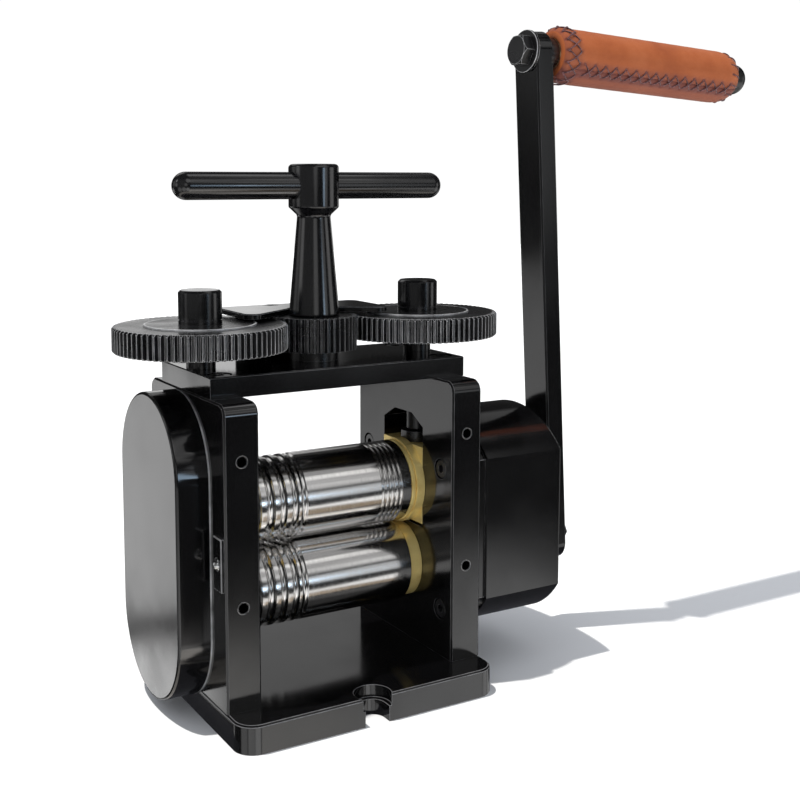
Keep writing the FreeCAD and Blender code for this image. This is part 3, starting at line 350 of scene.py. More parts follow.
@dataclass(frozen=True)
class BlackPaint:
    """Glossy black paint over iron, with faint orange peel and edges a little lighter, part rubbed wear and
    part painted highlight.
    """

    coat: Coat = Coat.PAINT
    dark: Colour = (0.0030, 0.0030, 0.0034)
    edge_wear_highlight: Colour = (0.018, 0.018, 0.020)
    rough: Range = (0.09, 0.16)
    patches: Grain = Grain(34.0, 4.0)
    peel: Grain = Grain(700.0, 2.0)
    relief: Relief = Relief(0.000010, 0.25)
    edge_band_reach: float = 0.0007

    def make(self) -> bpy.types.Material:
        """Makes the paint's material.

        Returns:
            The material.
        """
        shade = Shade(self.coat.value)
        edges = shade.edge_wear_highlight_mask(self.edge_band_reach)
        # edges lighter: part rubbed wear, part painted highlight
        shade.join(shade.colours(edges, (0.0, self.dark), (1.0, self.edge_wear_highlight)), "Base Color")
        shade.join(shade.spread(shade.noise(self.patches), *self.rough), "Roughness")
        shade.join(shade.bump(shade.noise(self.peel), self.relief), "Normal")
        shade.set(Specular_IOR_Level=1.0, IOR=1.5)
        return shade.material


@dataclass(frozen=True)
class RubbedPaintAndHighlight(Clouded):
    """Paint rubbed thin along the edges of castings and plates, in a grey that is part wear and part painted
    highlight.
    """

    coat: Coat = Coat.PAINT_EDGE
    low: Colour = (0.075, 0.075, 0.078)
    high: Colour = (0.190, 0.190, 0.195)
    rough: Range = (0.22, 0.32)
    cloud: Grain = Grain(90.0, 4.0, 0.6)
    specular: float = 1.0


@dataclass(frozen=True)
class BareSteelAndHighlight(Clouded):
    """Light half-metal steel on the edges of teeth, bosses, washers, the grip's bolt and the cover's rim,
    part bare steel and part painted highlight.
    """

    coat: Coat = Coat.STEEL_EDGE
    low: Colour = (0.30, 0.30, 0.305)
    high: Colour = (0.80, 0.80, 0.81)
    rough: Range = (0.45, 0.30)
    cloud: Grain = Grain(130.0, 4.0, 0.6)
    stops: Range = (0.3, 0.65)
    metallic: float = 0.5


@dataclass(frozen=True)
class BlackSteel:
    """Blackened steel with a satin oil sheen, fine machining marks and lighter edges, part rubbed wear and
    part painted highlight.
    """

    coat: Coat = Coat.BLACK
    dark: Colour = (0.0055, 0.0055, 0.0062)
    light: Colour = (0.0100, 0.0100, 0.0112)
    edge_wear_highlight: Colour = (0.16, 0.16, 0.165)
    rough: Range = (0.21, 0.35)
    mottle: Grain = Grain(60.0, 5.0)
    patches: Grain = Grain(45.0, 4.0)
    marks: Grain = Grain(2200.0, 2.0)
    relief: Relief = Relief(0.000010, 0.3)
    edge_band_reach: float = 0.0005

    def make(self) -> bpy.types.Material:
        """Makes the blackened steel's material.

        Returns:
            The material.
        """
        shade = Shade(self.coat.value)
        mottle = shade.colours(shade.noise(self.mottle), (0.3, self.dark), (0.7, self.light))
        # edges lighter: part rubbed wear, part painted highlight
        shade.join(shade.mix(shade.edge_wear_highlight_mask(self.edge_band_reach), mottle, self.edge_wear_highlight), "Base Color")
        shade.join(shade.spread(shade.noise(self.patches), *self.rough), "Roughness")
        shade.join(shade.bump(shade.noise(self.marks), self.relief), "Normal")
        shade.set(Metallic=0.0, Specular_IOR_Level=1.0)
        return shade.material


@dataclass(frozen=True)
class PolishedBlack(BlackSteel):
    """Blackened steel rubbed to a deep gloss, on the parts that are turned by hand."""

    coat: Coat = Coat.GLOSSY
    dark: Colour = (0.0035, 0.0035, 0.0042)
    light: Colour = (0.0060, 0.0060, 0.0070)
    edge_wear_highlight: Colour = (0.05, 0.05, 0.055)
    rough: Range = (0.09, 0.23)


@dataclass(frozen=True)
class PolishedSteel:
    """Polished roll steel, with hair-fine marks round the axis and faint tarnish streaks along it."""

    coat: Coat = Coat.ROLL
    bright: Colour = (0.82, 0.81, 0.80)
    dull: Colour = (0.62, 0.61, 0.60)
    rough: Range = (0.09, 0.20)
    rings: Grain = Grain(2600.0, 3.0, stretch=(1.0, 0.03, 0.03))
    streaks: Grain = Grain(260.0, 4.0, stretch=(0.05, 1.0, 1.0))
    relief: Relief = Relief(0.000004, 0.25)

    def make(self) -> bpy.types.Material:
        """Makes the polished steel's material.

        Returns:
            The material.
        """
        shade = Shade(self.coat.value)
        rings, streaks = shade.noise(self.rings), shade.noise(self.streaks)
        shade.join(shade.colours(streaks, (0.32, self.dull), (0.62, self.bright)), "Base Color")
        shade.join(shade.spread(rings, *self.rough), "Roughness")
        shade.join(shade.bump(rings, self.relief), "Normal")
        shade.set(Metallic=1.0)
        return shade.material


@dataclass(frozen=True)
class Brass:
    """Turned brass with fine marks and small dark spots of age."""

    coat: Coat = Coat.BRASS
    bright: Colour = (1.0, 0.79, 0.31)
    aged: Colour = (0.88, 0.64, 0.22)
    rough: Range = (0.17, 0.27)
    spots: Grain = Grain(120.0, 5.0, 0.6)
    marks: Grain = Grain(1500.0, 2.0)
    relief: Relief = Relief(0.000003, 0.3)

    def make(self) -> bpy.types.Material:
        """Makes the brass material.

        Returns:
            The material.
        """
        shade = Shade(self.coat.value)
        spots, marks = shade.noise(self.spots), shade.noise(self.marks)
        shade.join(shade.colours(spots, (0.30, self.aged), (0.55, self.bright)), "Base Color")
        shade.join(shade.spread(marks, *self.rough), "Roughness")
        shade.join(shade.bump(marks, self.relief), "Normal")
        shade.set(Metallic=0.45)
        return shade.material


@dataclass(frozen=True)
class BrightSteel(Clouded):
    """Bare bright steel of shafts and screws."""

    coat: Coat = Coat.BRIGHT
    low: Colour = (0.42, 0.42, 0.43)
    high: Colour = (0.60, 0.60, 0.61)
    rough: Range = (0.32, 0.20)
    cloud: Grain = Grain(150.0, 4.0)
    metallic: float = 1.0
    relief: Relief = Relief(0.000006, 0.3)
    marks: Grain = Grain(2000.0, 2.0)


@dataclass(frozen=True)
class Leather:
    """Tan saddle leather with pores, creases, darker rubbed patches, darker stitched bands, and painted shade
    in the stitch holes, the seam's slit, the underside and the near end.
    """

    coat: Coat = Coat.LEATHER
    tan: Colour = (0.43, 0.108, 0.030)
    pale: Colour = (0.52, 0.150, 0.052)
    rubbed: Colour = (0.33, 0.074, 0.020)
    # colour of the stitched bands and of the painted shade in holes, slit, underside and near end
    sewn: Colour = (0.19, 0.055, 0.040)
    rough: Range = (0.56, 0.44)
    patches: Grain = Grain(45.0, 5.0, 0.6)
    creases: Grain = Grain(420.0, 5.0, 0.6, (0.35, 1.0, 1.0))
    crease_relief: Relief = Relief(0.00010, 0.5)
    pore_scale: float = 1500.0
    pore_relief: Relief = Relief(0.00006, 0.5)

    def make(self) -> bpy.types.Material:
        """Makes the leather's material, darkened where the sleeve's marks say so, by stitched bands and
        painted shade.

        Returns:
            The material.
        """
        shade = Shade(self.coat.value)
        patches = shade.noise(self.patches)
        plain = shade.colours(patches, (0.25, self.rubbed), (0.48, self.tan), (0.75, self.pale))
        # the sleeve's marks: darker stitched bands and painted shade
        mark = shade.node("Attribute", attribute_name="sewn").outputs["Fac"]
        shade.join(shade.mix(mark, plain, self.sewn), "Base Color")
        inputs = {"Vector": shade.place(), "Scale": self.pore_scale}
        pores = shade.node("TexVoronoi", inputs, feature="DISTANCE_TO_EDGE").outputs["Distance"]
        skin = shade.bump(shade.spread(pores, 0.0, 1.0, 0.0, 0.25), self.pore_relief)
        shade.join(shade.bump(shade.noise(self.creases), self.crease_relief, skin), "Normal")
        shade.join(shade.spread(patches, *self.rough), "Roughness")
        shade.set(Sheen_Weight=0.08, Sheen_Roughness=0.4, Specular_IOR_Level=0.3)
        return shade.material


@dataclass(frozen=True)
class Beech(Clouded):
    """Plain beech of the grip's core."""

    coat: Coat = Coat.BEECH
    low: Colour = (0.42, 0.25, 0.13)
    high: Colour = (0.62, 0.42, 0.25)
    rough: Range = (0.62, 0.48)
    cloud: Grain = Grain(900.0, 4.0, stretch=(0.08, 1.0, 1.0))
    stops: Range = (0.3, 0.65)
    relief: Relief = Relief(0.00003, 0.4)


@dataclass(frozen=True)
class Chrome(Clouded):
    """Chromed ball of the oiler."""

    coat: Coat = Coat.CHROME
    low: Colour = (0.70, 0.71, 0.72)
    high: Colour = (0.86, 0.87, 0.88)
    rough: Range = (0.10, 0.05)
    cloud: Grain = Grain(500.0, 3.0)
    stops: Range = (0.2, 0.8)
    metallic: float = 1.0


@dataclass(frozen=True)
class Thread:
    """Waxed violet-brown sewing thread with a twist."""

    coat: Coat = Coat.THREAD
    deep: Colour = (0.050, 0.014, 0.020)
    light: Colour = (0.27, 0.105, 0.110)
    twist_scale: float = 900.0
    relief: Relief = Relief(0.00012, 0.6)

    def make(self) -> bpy.types.Material:
        """Makes the thread's material.

        Returns:
            The material.
        """
        shade = Shade(self.coat.value)
        inputs = {"Vector": shade.place(), "Scale": self.twist_scale, "Distortion": 2.5, "Detail": 2.0}
        twist = shade.node("TexWave", inputs, bands_direction="DIAGONAL").outputs["Fac"]
        shade.join(shade.colours(twist, (0.25, self.deep), (0.95, self.light)), "Base Color")
        shade.join(shade.bump(twist, self.relief), "Normal")
        shade.set(Roughness=0.42, Specular_IOR_Level=0.6, Sheen_Weight=0.2)
        return shade.material


class Finishes:
    """All finishes of the mill, each made once."""

    KINDS = (
        BlackPaint, BlackSteel, PolishedBlack, RubbedPaintAndHighlight, BareSteelAndHighlight, PolishedSteel, Brass, BrightSteel,
        Leather, Beech, Chrome, Thread,
    )

    def __init__(self) -> None:
        """Makes every finish's material."""
        self.materials = {kind.coat: kind().make() for kind in self.KINDS}

    def of(self, coat: Coat) -> bpy.types.Material:
        """Gives a finish's material."""
        return self.materials[coat]


class Bench:
    """Modelling tools; each leaves one mesh object in object mode, with its place in its mesh."""

    CUTTER_STEPS = 96
    FLATS_WEIGHT = 80

    @staticmethod
    def clear() -> None:
        """Leaves edit mode and deselects everything."""
        if bpy.context.object and bpy.context.object.mode != "OBJECT":
            bpy.ops.object.mode_set(mode="OBJECT")
        bpy.ops.object.select_all(action="DESELECT")

    @staticmethod
    def hold(piece: Piece) -> None:
        """Selects one piece alone and makes it active.

        Args:
            piece: the piece.
        """
        Bench.clear()
        piece.select_set(True)
        bpy.context.view_layer.objects.active = piece

    @staticmethod
    def edit(piece: Piece) -> None:
        """Opens one piece in edit mode with all of its mesh selected.

        Args:
            piece: the piece.
        """
        Bench.hold(piece)
        bpy.ops.object.mode_set(mode="EDIT")
        bpy.ops.mesh.select_all(action="SELECT")

    @staticmethod
    def settle() -> None:
        """Puts the place, turn and size of what is selected into its mesh."""
        bpy.ops.object.transform_apply(location=True, rotation=True, scale=True)

    @staticmethod
    def lathe(
        name: str, profile: Profile, centre: Vector, along: Vector, steps: int, closed: bool = False,
    ) -> Piece:
        """Draws one corner out along a profile and spins it round an axis.

        Args:
            name: the piece's name.
            profile: length along the axis and radius of each corner, in millimetres.
            centre: the axis's zero point, in millimetres.
            along: the axis's direction.
            steps: corners round the piece.
            closed: whether the profile is drawn back to its first corner, for a ring.

        Returns:
            The turned piece.
        """
        along = along.normalized()
        out = along.orthogonal().normalized()
        corners = profile + profile[:1] if closed else profile
        Bench.clear()
        bpy.ops.mesh.primitive_plane_add(size=MM)
        piece = bpy.context.active_object
        piece.name = name
        bpy.ops.object.mode_set(mode="EDIT")
        bpy.ops.mesh.merge(type="CENTER")
        first = centre + along * corners[0][0] + out * corners[0][1]
        bpy.ops.transform.translate(value=first * MM)
        for (start, inner), (end, outer) in zip(corners, corners[1:]):
            step = (along * (end - start) + out * (outer - inner)) * MM
            bpy.ops.mesh.extrude_region_move(TRANSFORM_OT_translate={"value": step})
        bpy.ops.mesh.select_all(action="SELECT")
        bpy.ops.mesh.spin(steps=steps, angle=2.0 * math.pi, center=centre * MM, axis=along)
        bpy.ops.mesh.select_all(action="SELECT")
        bpy.ops.mesh.remove_doubles(threshold=WELD)
        bpy.ops.mesh.normals_make_consistent(inside=False)
        bpy.ops.object.mode_set(mode="OBJECT")
        return piece

    @staticmethod
    def recast(node: Piece, edge: Edge) -> Piece:
        """Copies a solid as one closed mesh of flat faces and rounds its sharp edges.

        Args:
            node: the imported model's solid.
            edge: the rounding.

        Returns:
            The copy, with a first slot for its faces and a second one for the rounding.
        """
        Bench.clear()
        piece = bpy.data.objects.new(f"{node.name}_finished", node.data.copy())
        bpy.context.collection.objects.link(piece)
        piece.data.materials.clear()
        piece.data.materials.append(None)
        piece.data.materials.append(None)
        for face in piece.data.polygons:
            face.material_index = 0
        Bench.hold(piece)
        bpy.ops.mesh.customdata_custom_splitnormals_clear()
        Bench.edit(piece)
        bpy.ops.mesh.remove_doubles(threshold=RECAST_WELD)
        bpy.ops.mesh.dissolve_limited(angle_limit=math.radians(FLAT_DEG))
        bpy.ops.mesh.select_all(action="SELECT")
        bpy.ops.mesh.mark_sharp(clear=True)
        bpy.ops.object.mode_set(mode="OBJECT")
        Bench.round_edges(piece, edge)
        return piece

    @staticmethod
    def round_edges(piece: Piece, edge: Edge) -> None:
        """Rounds a piece's sharp edges, gives the new faces its second slot, and shades it with true flats.

        Args:
            piece: the piece.
            edge: the rounding.
        """
        Bench.hold(piece)
        bevel = piece.modifiers.new("rounding", "BEVEL")
        bevel.width = edge.width * MM
        bevel.segments = edge.segments
        bevel.limit_method = "ANGLE"
        bevel.angle_limit = math.radians(edge.limit_deg)
        bevel.miter_outer = "MITER_ARC"
        bevel.use_clamp_overlap = True
        if len(piece.data.materials) > 1:
            bevel.material = 1
        bpy.ops.object.modifier_apply(modifier=bevel.name)
        Bench.shade(piece, SOLID_DEG)

    @staticmethod
    def shade(piece: Piece, limit_deg: float, weighted: bool = True) -> None:
        """Smooths a piece's shading up to an angle.

        Args:
            piece: the piece.
            limit_deg: edges sharper than this stay sharp.
            weighted: whether large faces keep their own direction.
        """
        Bench.hold(piece)
        bpy.ops.object.shade_smooth_by_angle(angle=math.radians(limit_deg))
        if weighted:
            weight = piece.modifiers.new("flats", "WEIGHTED_NORMAL")
            weight.keep_sharp = True
            weight.weight = Bench.FLATS_WEIGHT
            bpy.ops.object.modifier_apply(modifier=weight.name)

    @staticmethod
    def bore(piece: Piece, radius: float, length: float, centre: Vector, along: Vector) -> None:
        """Cuts a round hole through a piece.

        Args:
            piece: the piece.
            radius: the hole's radius, in millimetres.
            length: the cutter's length, in millimetres.
            centre: the cutter's middle, in millimetres.
            along: the hole's direction.
        """
        Bench.clear()
        turn = along.to_track_quat("Z", "Y").to_euler()
        bpy.ops.mesh.primitive_cylinder_add(
            vertices=Bench.CUTTER_STEPS, radius=radius * MM, depth=length * MM,
            location=centre * MM, rotation=turn,
        )
        cutter = bpy.context.active_object
        Bench.settle()
        Bench.hold(piece)
        cut = piece.modifiers.new("bore", "BOOLEAN")
        cut.operation = "DIFFERENCE"
        cut.object = cutter
        cut.solver = "EXACT"
        bpy.ops.object.modifier_apply(modifier=cut.name)
        bpy.data.objects.remove(cutter, do_unlink=True)

    @staticmethod
    def merge(name: str, pieces: list[Piece]) -> Piece:
        """Joins pieces into one object.

        Args:
            name: the joined piece's name.
            pieces: the pieces.

        Returns:
            The joined piece.
        """
        Bench.hold(pieces[0])
        for piece in pieces:
            piece.select_set(True)
        bpy.ops.object.join()
        pieces[0].name = name
        return pieces[0]

    @staticmethod
    def mirrored(piece: Piece, name: str) -> Piece:
        """Copies a piece to the other side of the mill's middle plane.

        Args:
            piece: the piece on one side.
            name: the copy's name.

        Returns:
            The copy, with its own mesh.
        """
        twin = bpy.data.objects.new(name, piece.data.copy())
        bpy.context.collection.objects.link(twin)
        twin.scale = (-1.0, 1.0, 1.0)
        Bench.hold(twin)
        Bench.settle()
        Bench.edit(twin)
        bpy.ops.mesh.normals_make_consistent(inside=False)
        bpy.ops.object.mode_set(mode="OBJECT")
        return twin


def rounding(
    along: float, radius: float, size: float, start_deg: float, end_deg: float, parts: int,
) -> Profile:
    """Gives the corners of a rounded edge for a turned profile.

    Args:
        along: length at the rounding's centre, in millimetres.
        radius: radius at the rounding's centre, in millimetres.
        size: the rounding's own radius, in millimetres.
        start_deg: angle of its first corner, from the axis's direction.
        end_deg: angle of its last corner.
        parts: its number of straight parts.

    Returns:
        The corners.
    """
    turns = [math.radians(start_deg + (end_deg - start_deg) * i / parts) for i in range(parts + 1)]
    return [(along + size * math.cos(turn), radius + size * math.sin(turn)) for turn in turns]


def moved(curve: Curve, along: float, radius: float) -> Profile:
    """Moves a small outline to its place on a turned profile."""
    return [(along + x, radius + r) for x, r in curve]


def ramp(value: float, width: float) -> float:
    """Rises evenly from 0 to 1 over a width."""
    return min(1.0, max(0.0, value / width))


@dataclass
class Mill:
    """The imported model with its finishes, and the bookkeeping of every piece that is fitted to it."""

    frame: dict
    finishes: Finishes
    slot_of: dict[str, str] = field(init=False)
    body_of: dict[str, str] = field(init=False)

    def __post_init__(self) -> None:
        """Reads which slot and which body each node has, and dresses all nodes."""
        record = self.frame["record"]
        self.slot_of = {part["node"]: part["material_slot"] for part in record["subparts"]}
        bodies = record["behaviour"]["bodies"]
        self.body_of = {name: body for body, names in bodies.items() for name in names}
        for name, node in self.frame["nodes"].items():
            self.dress(node, Coat(self.slot_of[name]))

    def dress(self, piece: Piece, coat: Coat) -> None:
        """Gives all of a piece one finish.

        Args:
            piece: the piece.
            coat: the finish.
        """
        finish = self.finishes.of(coat)
        if not piece.material_slots:
            piece.data.materials.append(finish)
        for place in piece.material_slots:
            place.material = finish

    def node(self, name: str) -> Piece:
        """Gives a node's object."""
        return self.frame["nodes"][name]

    def fit(self, piece: Piece, name: str, coat: Coat | None = None, replaces: bool = True) -> Piece:
        """Dresses a new piece, mounts it on a node's body and hides the node if it stands for it.

        Args:
            piece: the new piece.
            name: the node it belongs to, which gives its body and slot.
            coat: a finish of its own, or None for the slot's.
            replaces: whether it stands for the node.

        Returns:
            The piece.
        """
        slot, body = self.slot_of[name], self.body_of[name]
        self.dress(piece, coat or Coat(slot))
        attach(piece, body)
        if replaces:
            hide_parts(name)
        log.info("%s: %d faces, %s, on %s", piece.name, len(piece.data.polygons), slot, body)
        return piece

    def finish_node(self, name: str, edge: Edge, rim: Coat | None = None, coat: Coat | None = None) -> Piece:
        """Fits a copy of a node with rounded edges in the node's place.

        Args:
            name: the node.
            edge: the rounding.
            rim: the rounded edges' own finish, or None for the piece's.
            coat: a finish of its own, or None for the slot's.

        Returns:
            The fitted copy.
        """
        piece = self.fit(Bench.recast(self.node(name), edge), name, coat)
        if rim:
            piece.material_slots[1].material = self.finishes.of(rim)
        return piece


@dataclass
class Castings:
    """Base, side frames and top plate, with rounded edges in the lighter edge paint, part wear and part
    painted highlight, and the rims of the guard holes.
    """

    edge: Edge = Edge(0.5)
    guard_x: float = 54.0
    guard_face_y: float = -41.7
    guard_z: Range = (55.6, 115.6)
    guard_radius: float = 2.1
    rim_curve: Curve = (
        (0.6, 0.0), (0.05, 0.3), (-0.04, 0.4), (-0.04, 0.46), (0.0, 0.52), (0.3, 0.52), (0.9, 0.2),
    )
    rim_steps: int = 40

    def build(self, mill: Mill) -> None:
        """Builds the castings.

        Args:
            mill: the mill they are fitted to.
        """
        for name in ("base_plate", "left_side_frame", "right_side_frame", "top_plate"):
            # rounded edges in the lighter edge paint: part wear, part painted highlight
            mill.finish_node(name, self.edge, Coat.PAINT_EDGE)
        rims = [self.rim(side.value * self.guard_x, z) for side in Side for z in self.guard_z]
        mill.fit(Bench.merge("guard_hole_rims", rims), "left_side_frame", Coat.BRIGHT, replaces=False)

    def rim(self, x: float, z: float) -> Piece:
        """Turns the bare countersunk rim of one guard hole.

        Args:
            x: the hole's place along the mill.
            z: its height.

        Returns:
            The rim.
        """
        profile = moved(self.rim_curve, 0.0, self.guard_radius)
        centre = Vector((x, self.guard_face_y, z))
        ring = Bench.lathe("rim", profile, centre, Axis.Y.way(), self.rim_steps, closed=True)
        Bench.shade(ring, limit_deg=50.0)
        return ring


@dataclass
class Rolls:
    """The two polished rolls, with wire grooves at the left and pattern grooves at the upper one's right."""

    radius: float = 18.7
    half: float = 40.0
    lower_z: float = 49.3
    upper_z: float = 87.4
    journal: float = 10.0
    stub: float = 8.0
    stub_end: float = -72.3
    journal_start: float = -61.6
    upper_end: float = 61.0
    lower_journal_end: float = 71.2
    lower_end: float = 81.2
    edge: float = 0.5
    edge_parts: int = 4
    lip: float = 0.09
    least_sink: float = 0.05
    lands: tuple[float, ...] = (1.2, 2.6, 2.3, 2.4, 1.3)
    wires: tuple[float, ...] = (3.9, 3.9, 3.3, 3.3)
    wire_share: float = 0.36
    wire_parts: int = 12
    relief: Range = (2.9, 0.5)
    fine: Range = (1.7, 0.9)
    fine_places: tuple[float, ...] = (24.95, 27.35, 29.75, 32.15, 34.55)
    fine_parts: int = 8
    steps: int = 128

    def build(self, mill: Mill) -> None:
        """Builds both rolls.

        Args:
            mill: the mill they are fitted to.
        """
        upper_tail = [(self.upper_end, self.journal), (self.upper_end, 0.0)]
        lower_tail = [
            (self.lower_journal_end, self.journal), (self.lower_journal_end, self.stub),
            (self.lower_end, self.stub), (self.lower_end, 0.0),
        ]
        self.turn(mill, "upper_roll", self.upper_z, self.fine_places, upper_tail)
        self.turn(mill, "lower_roll", self.lower_z, (), lower_tail)

    def groove(self, middle: float, width: float, depth: float, parts: int) -> Profile:
        """Gives the corners of one round-bottomed groove with softened lips.

        Args:
            middle: its place along the roll.
            width: its width.
            depth: its depth.
            parts: straight parts across it.

        Returns:
            The corners from its left lip to its right lip.
        """
        bow = (width * width / 4 + depth * depth) / (2 * depth)
        corners = [(middle - width / 2 - self.lip, self.radius)]
        for i in range(parts + 1):
            x = -width / 2 + width * i / parts
            sink = math.sqrt(bow * bow - x * x) - (bow - depth)
            corners.append((middle + x, self.radius - max(sink, self.least_sink)))
        corners.append((middle + width / 2 + self.lip, self.radius))
        return corners

    def turn(
        self, mill: Mill, name: str, height: float, fine_places: tuple[float, ...], tail: Profile,
    ) -> None:
        """Turns one roll from its left stub to its right end.

        Args:
            mill: the mill it is fitted to.
            name: its node.
            height: its axis's height.
            fine_places: places of its pattern grooves.
            tail: the profile after its working length.
        """
        profile: Profile = [
            (self.stub_end, 0.0), (self.stub_end, self.stub), (self.journal_start, self.stub),
            (self.journal_start, self.journal), (-self.half, self.journal),
        ]
        shoulder, size = self.half - self.edge, self.radius - self.edge
        profile += rounding(-shoulder, size, self.edge, 180.0, 90.0, self.edge_parts)
        x = -self.half
        for land, width in zip(self.lands, self.wires):
            x += land
            profile += self.groove(x + width / 2, width, width * self.wire_share, self.wire_parts)
            x += width
        x += self.lands[-1]
        profile += self.groove(x + self.relief[0] / 2, *self.relief, self.fine_parts)
        for place in fine_places:
            profile += self.groove(place, *self.fine, self.fine_parts)
        profile += rounding(shoulder, size, self.edge, 90.0, 0.0, self.edge_parts)
        profile += [(self.half, self.journal)] + tail
        roll = Bench.lathe(f"{name}_turned", profile, Vector((0.0, 0.0, height)), Axis.X.way(), self.steps)
        Bench.shade(roll, limit_deg=34.0)
        mill.fit(roll, name)


@dataclass
class Bearings:
    """Brass bushes, bearing blocks and thrust rings on both sides of the rolls, and the lift springs."""

    edge: Edge = Edge(0.3, limit_deg=40.0)
    spring_edge: Edge = Edge(0.02, 1, 70.0)

    def build(self, mill: Mill) -> None:
        """Builds the bearings.

        Args:
            mill: the mill they are fitted to.
        """
        for name in ("lower_bushes", "left_upper_block", "right_upper_block", "upper_thrust_rings"):
            mill.finish_node(name, self.edge)
        self.springs(mill)

    def springs(self, mill: Mill) -> None:
        """Copies the lift springs with softened edges in their place, dresses them and hides the node.

        Args:
            mill: the mill they are fitted to.
        """
        name = "lift_springs"
        springs = Bench.recast(mill.node(name), self.spring_edge)
        mill.dress(springs, Coat(mill.slot_of[name]))
        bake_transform(springs)
        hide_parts(name)
        log.info("%s: %d faces", springs.name, len(springs.data.polygons))


@dataclass
class ScrewDown:
    """Gears, their hubs, the pinion, the T-handle and the keeper plate on the mill's top."""

    tooth_edge: Edge = Edge(0.15, 1, 28.0)
    screw_edge: Edge = Edge(0.1)
    pad_edge: Edge = Edge(0.2)
    plate_edge: Edge = Edge(0.22)
    post_edge: Edge = Edge(0.4)
    keeper_screw_edge: Edge = Edge(0.12, 2)
    bore_edge: Edge = Edge(0.22, 2, 40.0)
    turned_deg: float = 30.0
    gear_x: float = 54.0
    plate_top: float = 147.8
    gear_bottom: float = 155.4
    gear_top: float = 166.8
    boss_radius: float = 23.7
    rim_curve: Curve = ((-0.35, -0.8), (0.02, -0.8), (0.05, -0.3), (-0.1, 0.04), (-0.45, 0.04), (-0.45, -0.2))
    rim_steps: int = 120
    plate_gap: float = 0.1
    neck_radius: float = 6.2
    hub_radius: float = 9.2
    hub_top: float = 181.0
    hub_curve: Curve = ((-1.15, 0.0), (-0.95, -0.06), (-0.12, -0.88), (0.0, -1.1))
    line_lift: float = 1.5
    line_curve: Curve = ((0.0, 0.0), (0.05, -0.3), (0.35, -0.3), (0.4, 0.0))
    hub_steps: int = 112
    stem_tip: float = 135.1
    spindle_radius: float = 7.0
    tip_curve: Curve = ((0.0, -0.5), (0.5, 0.0))
    foot_z: float = 167.5
    foot_radius: float = 11.2
    foot_curve: Curve = ((0.0, -0.4), (0.4, 0.0), (1.2, -0.05))
    neck_z: float = 211.3
    stem_neck: float = 7.35
    neck_curve: Curve = ((-1.5, 0.12), (-0.4, 0.04), (0.5, 0.35))
    head_z: float = 215.0
    head_radius: float = 11.1
    head_curve: Curve = ((-0.5, -0.55), (-0.1, -0.15), (0.4, 0.0))
    head_top: float = 233.8
    head_edge: float = 1.8
    head_parts: int = 6
    dimple: Curve = ((0.0, 2.2), (-0.4, 1.9), (-0.5, 0.0))
    stem_steps: int = 128
    bar_z: float = 224.4
    bar_radius: float = 5.9
    bar_half: float = 65.4
    bar_gap: float = 0.12
    bore_length: float = 60.0
    bar_parts: int = 12
    bar_steps: int = 80

    def build(self, mill: Mill) -> None:
        """Builds the screw-down.

        Args:
            mill: the mill it is fitted to.
        """
        for side in Side:
            gear = side.named("screw_gear")
            # tooth edges and boss rims in the lighter edge steel: part bare steel, part painted highlight
            mill.finish_node(gear, self.tooth_edge, Coat.STEEL_EDGE)
            mill.finish_node(side.named("pressure_screw"), self.screw_edge, coat=Coat.BLACK)
            mill.fit(self.boss_rim(side), gear, Coat.STEEL_EDGE, replaces=False)
        mill.finish_node("centre_pinion", self.tooth_edge, Coat.STEEL_EDGE)
        mill.finish_node("thrust_pads", self.pad_edge, coat=Coat.BLACK)
        mill.finish_node("keeper_plate", self.plate_edge, Coat.PAINT_EDGE)
        mill.finish_node("keeper_post", self.post_edge, Coat.PAINT_EDGE)
        mill.finish_node("keeper_screws", self.keeper_screw_edge)
        right_hub = self.hub()
        left_hub = Bench.mirrored(right_hub, "left_gear_hub_turned")
        for hub, name in ((right_hub, "right_gear_hub"), (left_hub, "left_gear_hub")):
            Bench.shade(hub, self.turned_deg)
            mill.fit(hub, name, Coat.GLOSSY)
        mill.fit(self.stem(), "t_handle_stem", Coat.GLOSSY)
        mill.fit(self.bar(), "t_handle_bar", Coat.GLOSSY)

    def boss_rim(self, side: Side) -> Piece:
        """Turns the bevelled rim round the low boss of a gear.

        Args:
            side: the gear's side.

        Returns:
            The rim.
        """
        profile = moved(self.rim_curve, self.gear_top, self.boss_radius)
        centre = Vector((side.value * self.gear_x, 0.0, 0.0))
        name = side.named("gear_boss_rim")
        ring = Bench.lathe(name, profile, centre, Axis.Z.way(), self.rim_steps, closed=True)
        Bench.shade(ring, self.turned_deg)
        return ring

    def hub(self) -> Piece:
        """Turns the right gear's hub, with a fine line above the gear and a rounded top.

        Returns:
            The hub.
        """
        foot = self.plate_top + self.plate_gap
        profile = [(foot, 0.0), (foot, self.neck_radius), (self.gear_bottom, self.neck_radius)]
        profile += [(self.gear_bottom, self.hub_radius)]
        profile += moved(self.line_curve, self.gear_top + self.line_lift, self.hub_radius)
        profile += moved(self.hub_curve, self.hub_top, self.hub_radius)
        profile += [(self.hub_top, 0.0)]
        centre = Vector((self.gear_x, 0.0, 0.0))
        return Bench.lathe("right_gear_hub_turned", profile, centre, Axis.Z.way(), self.hub_steps)

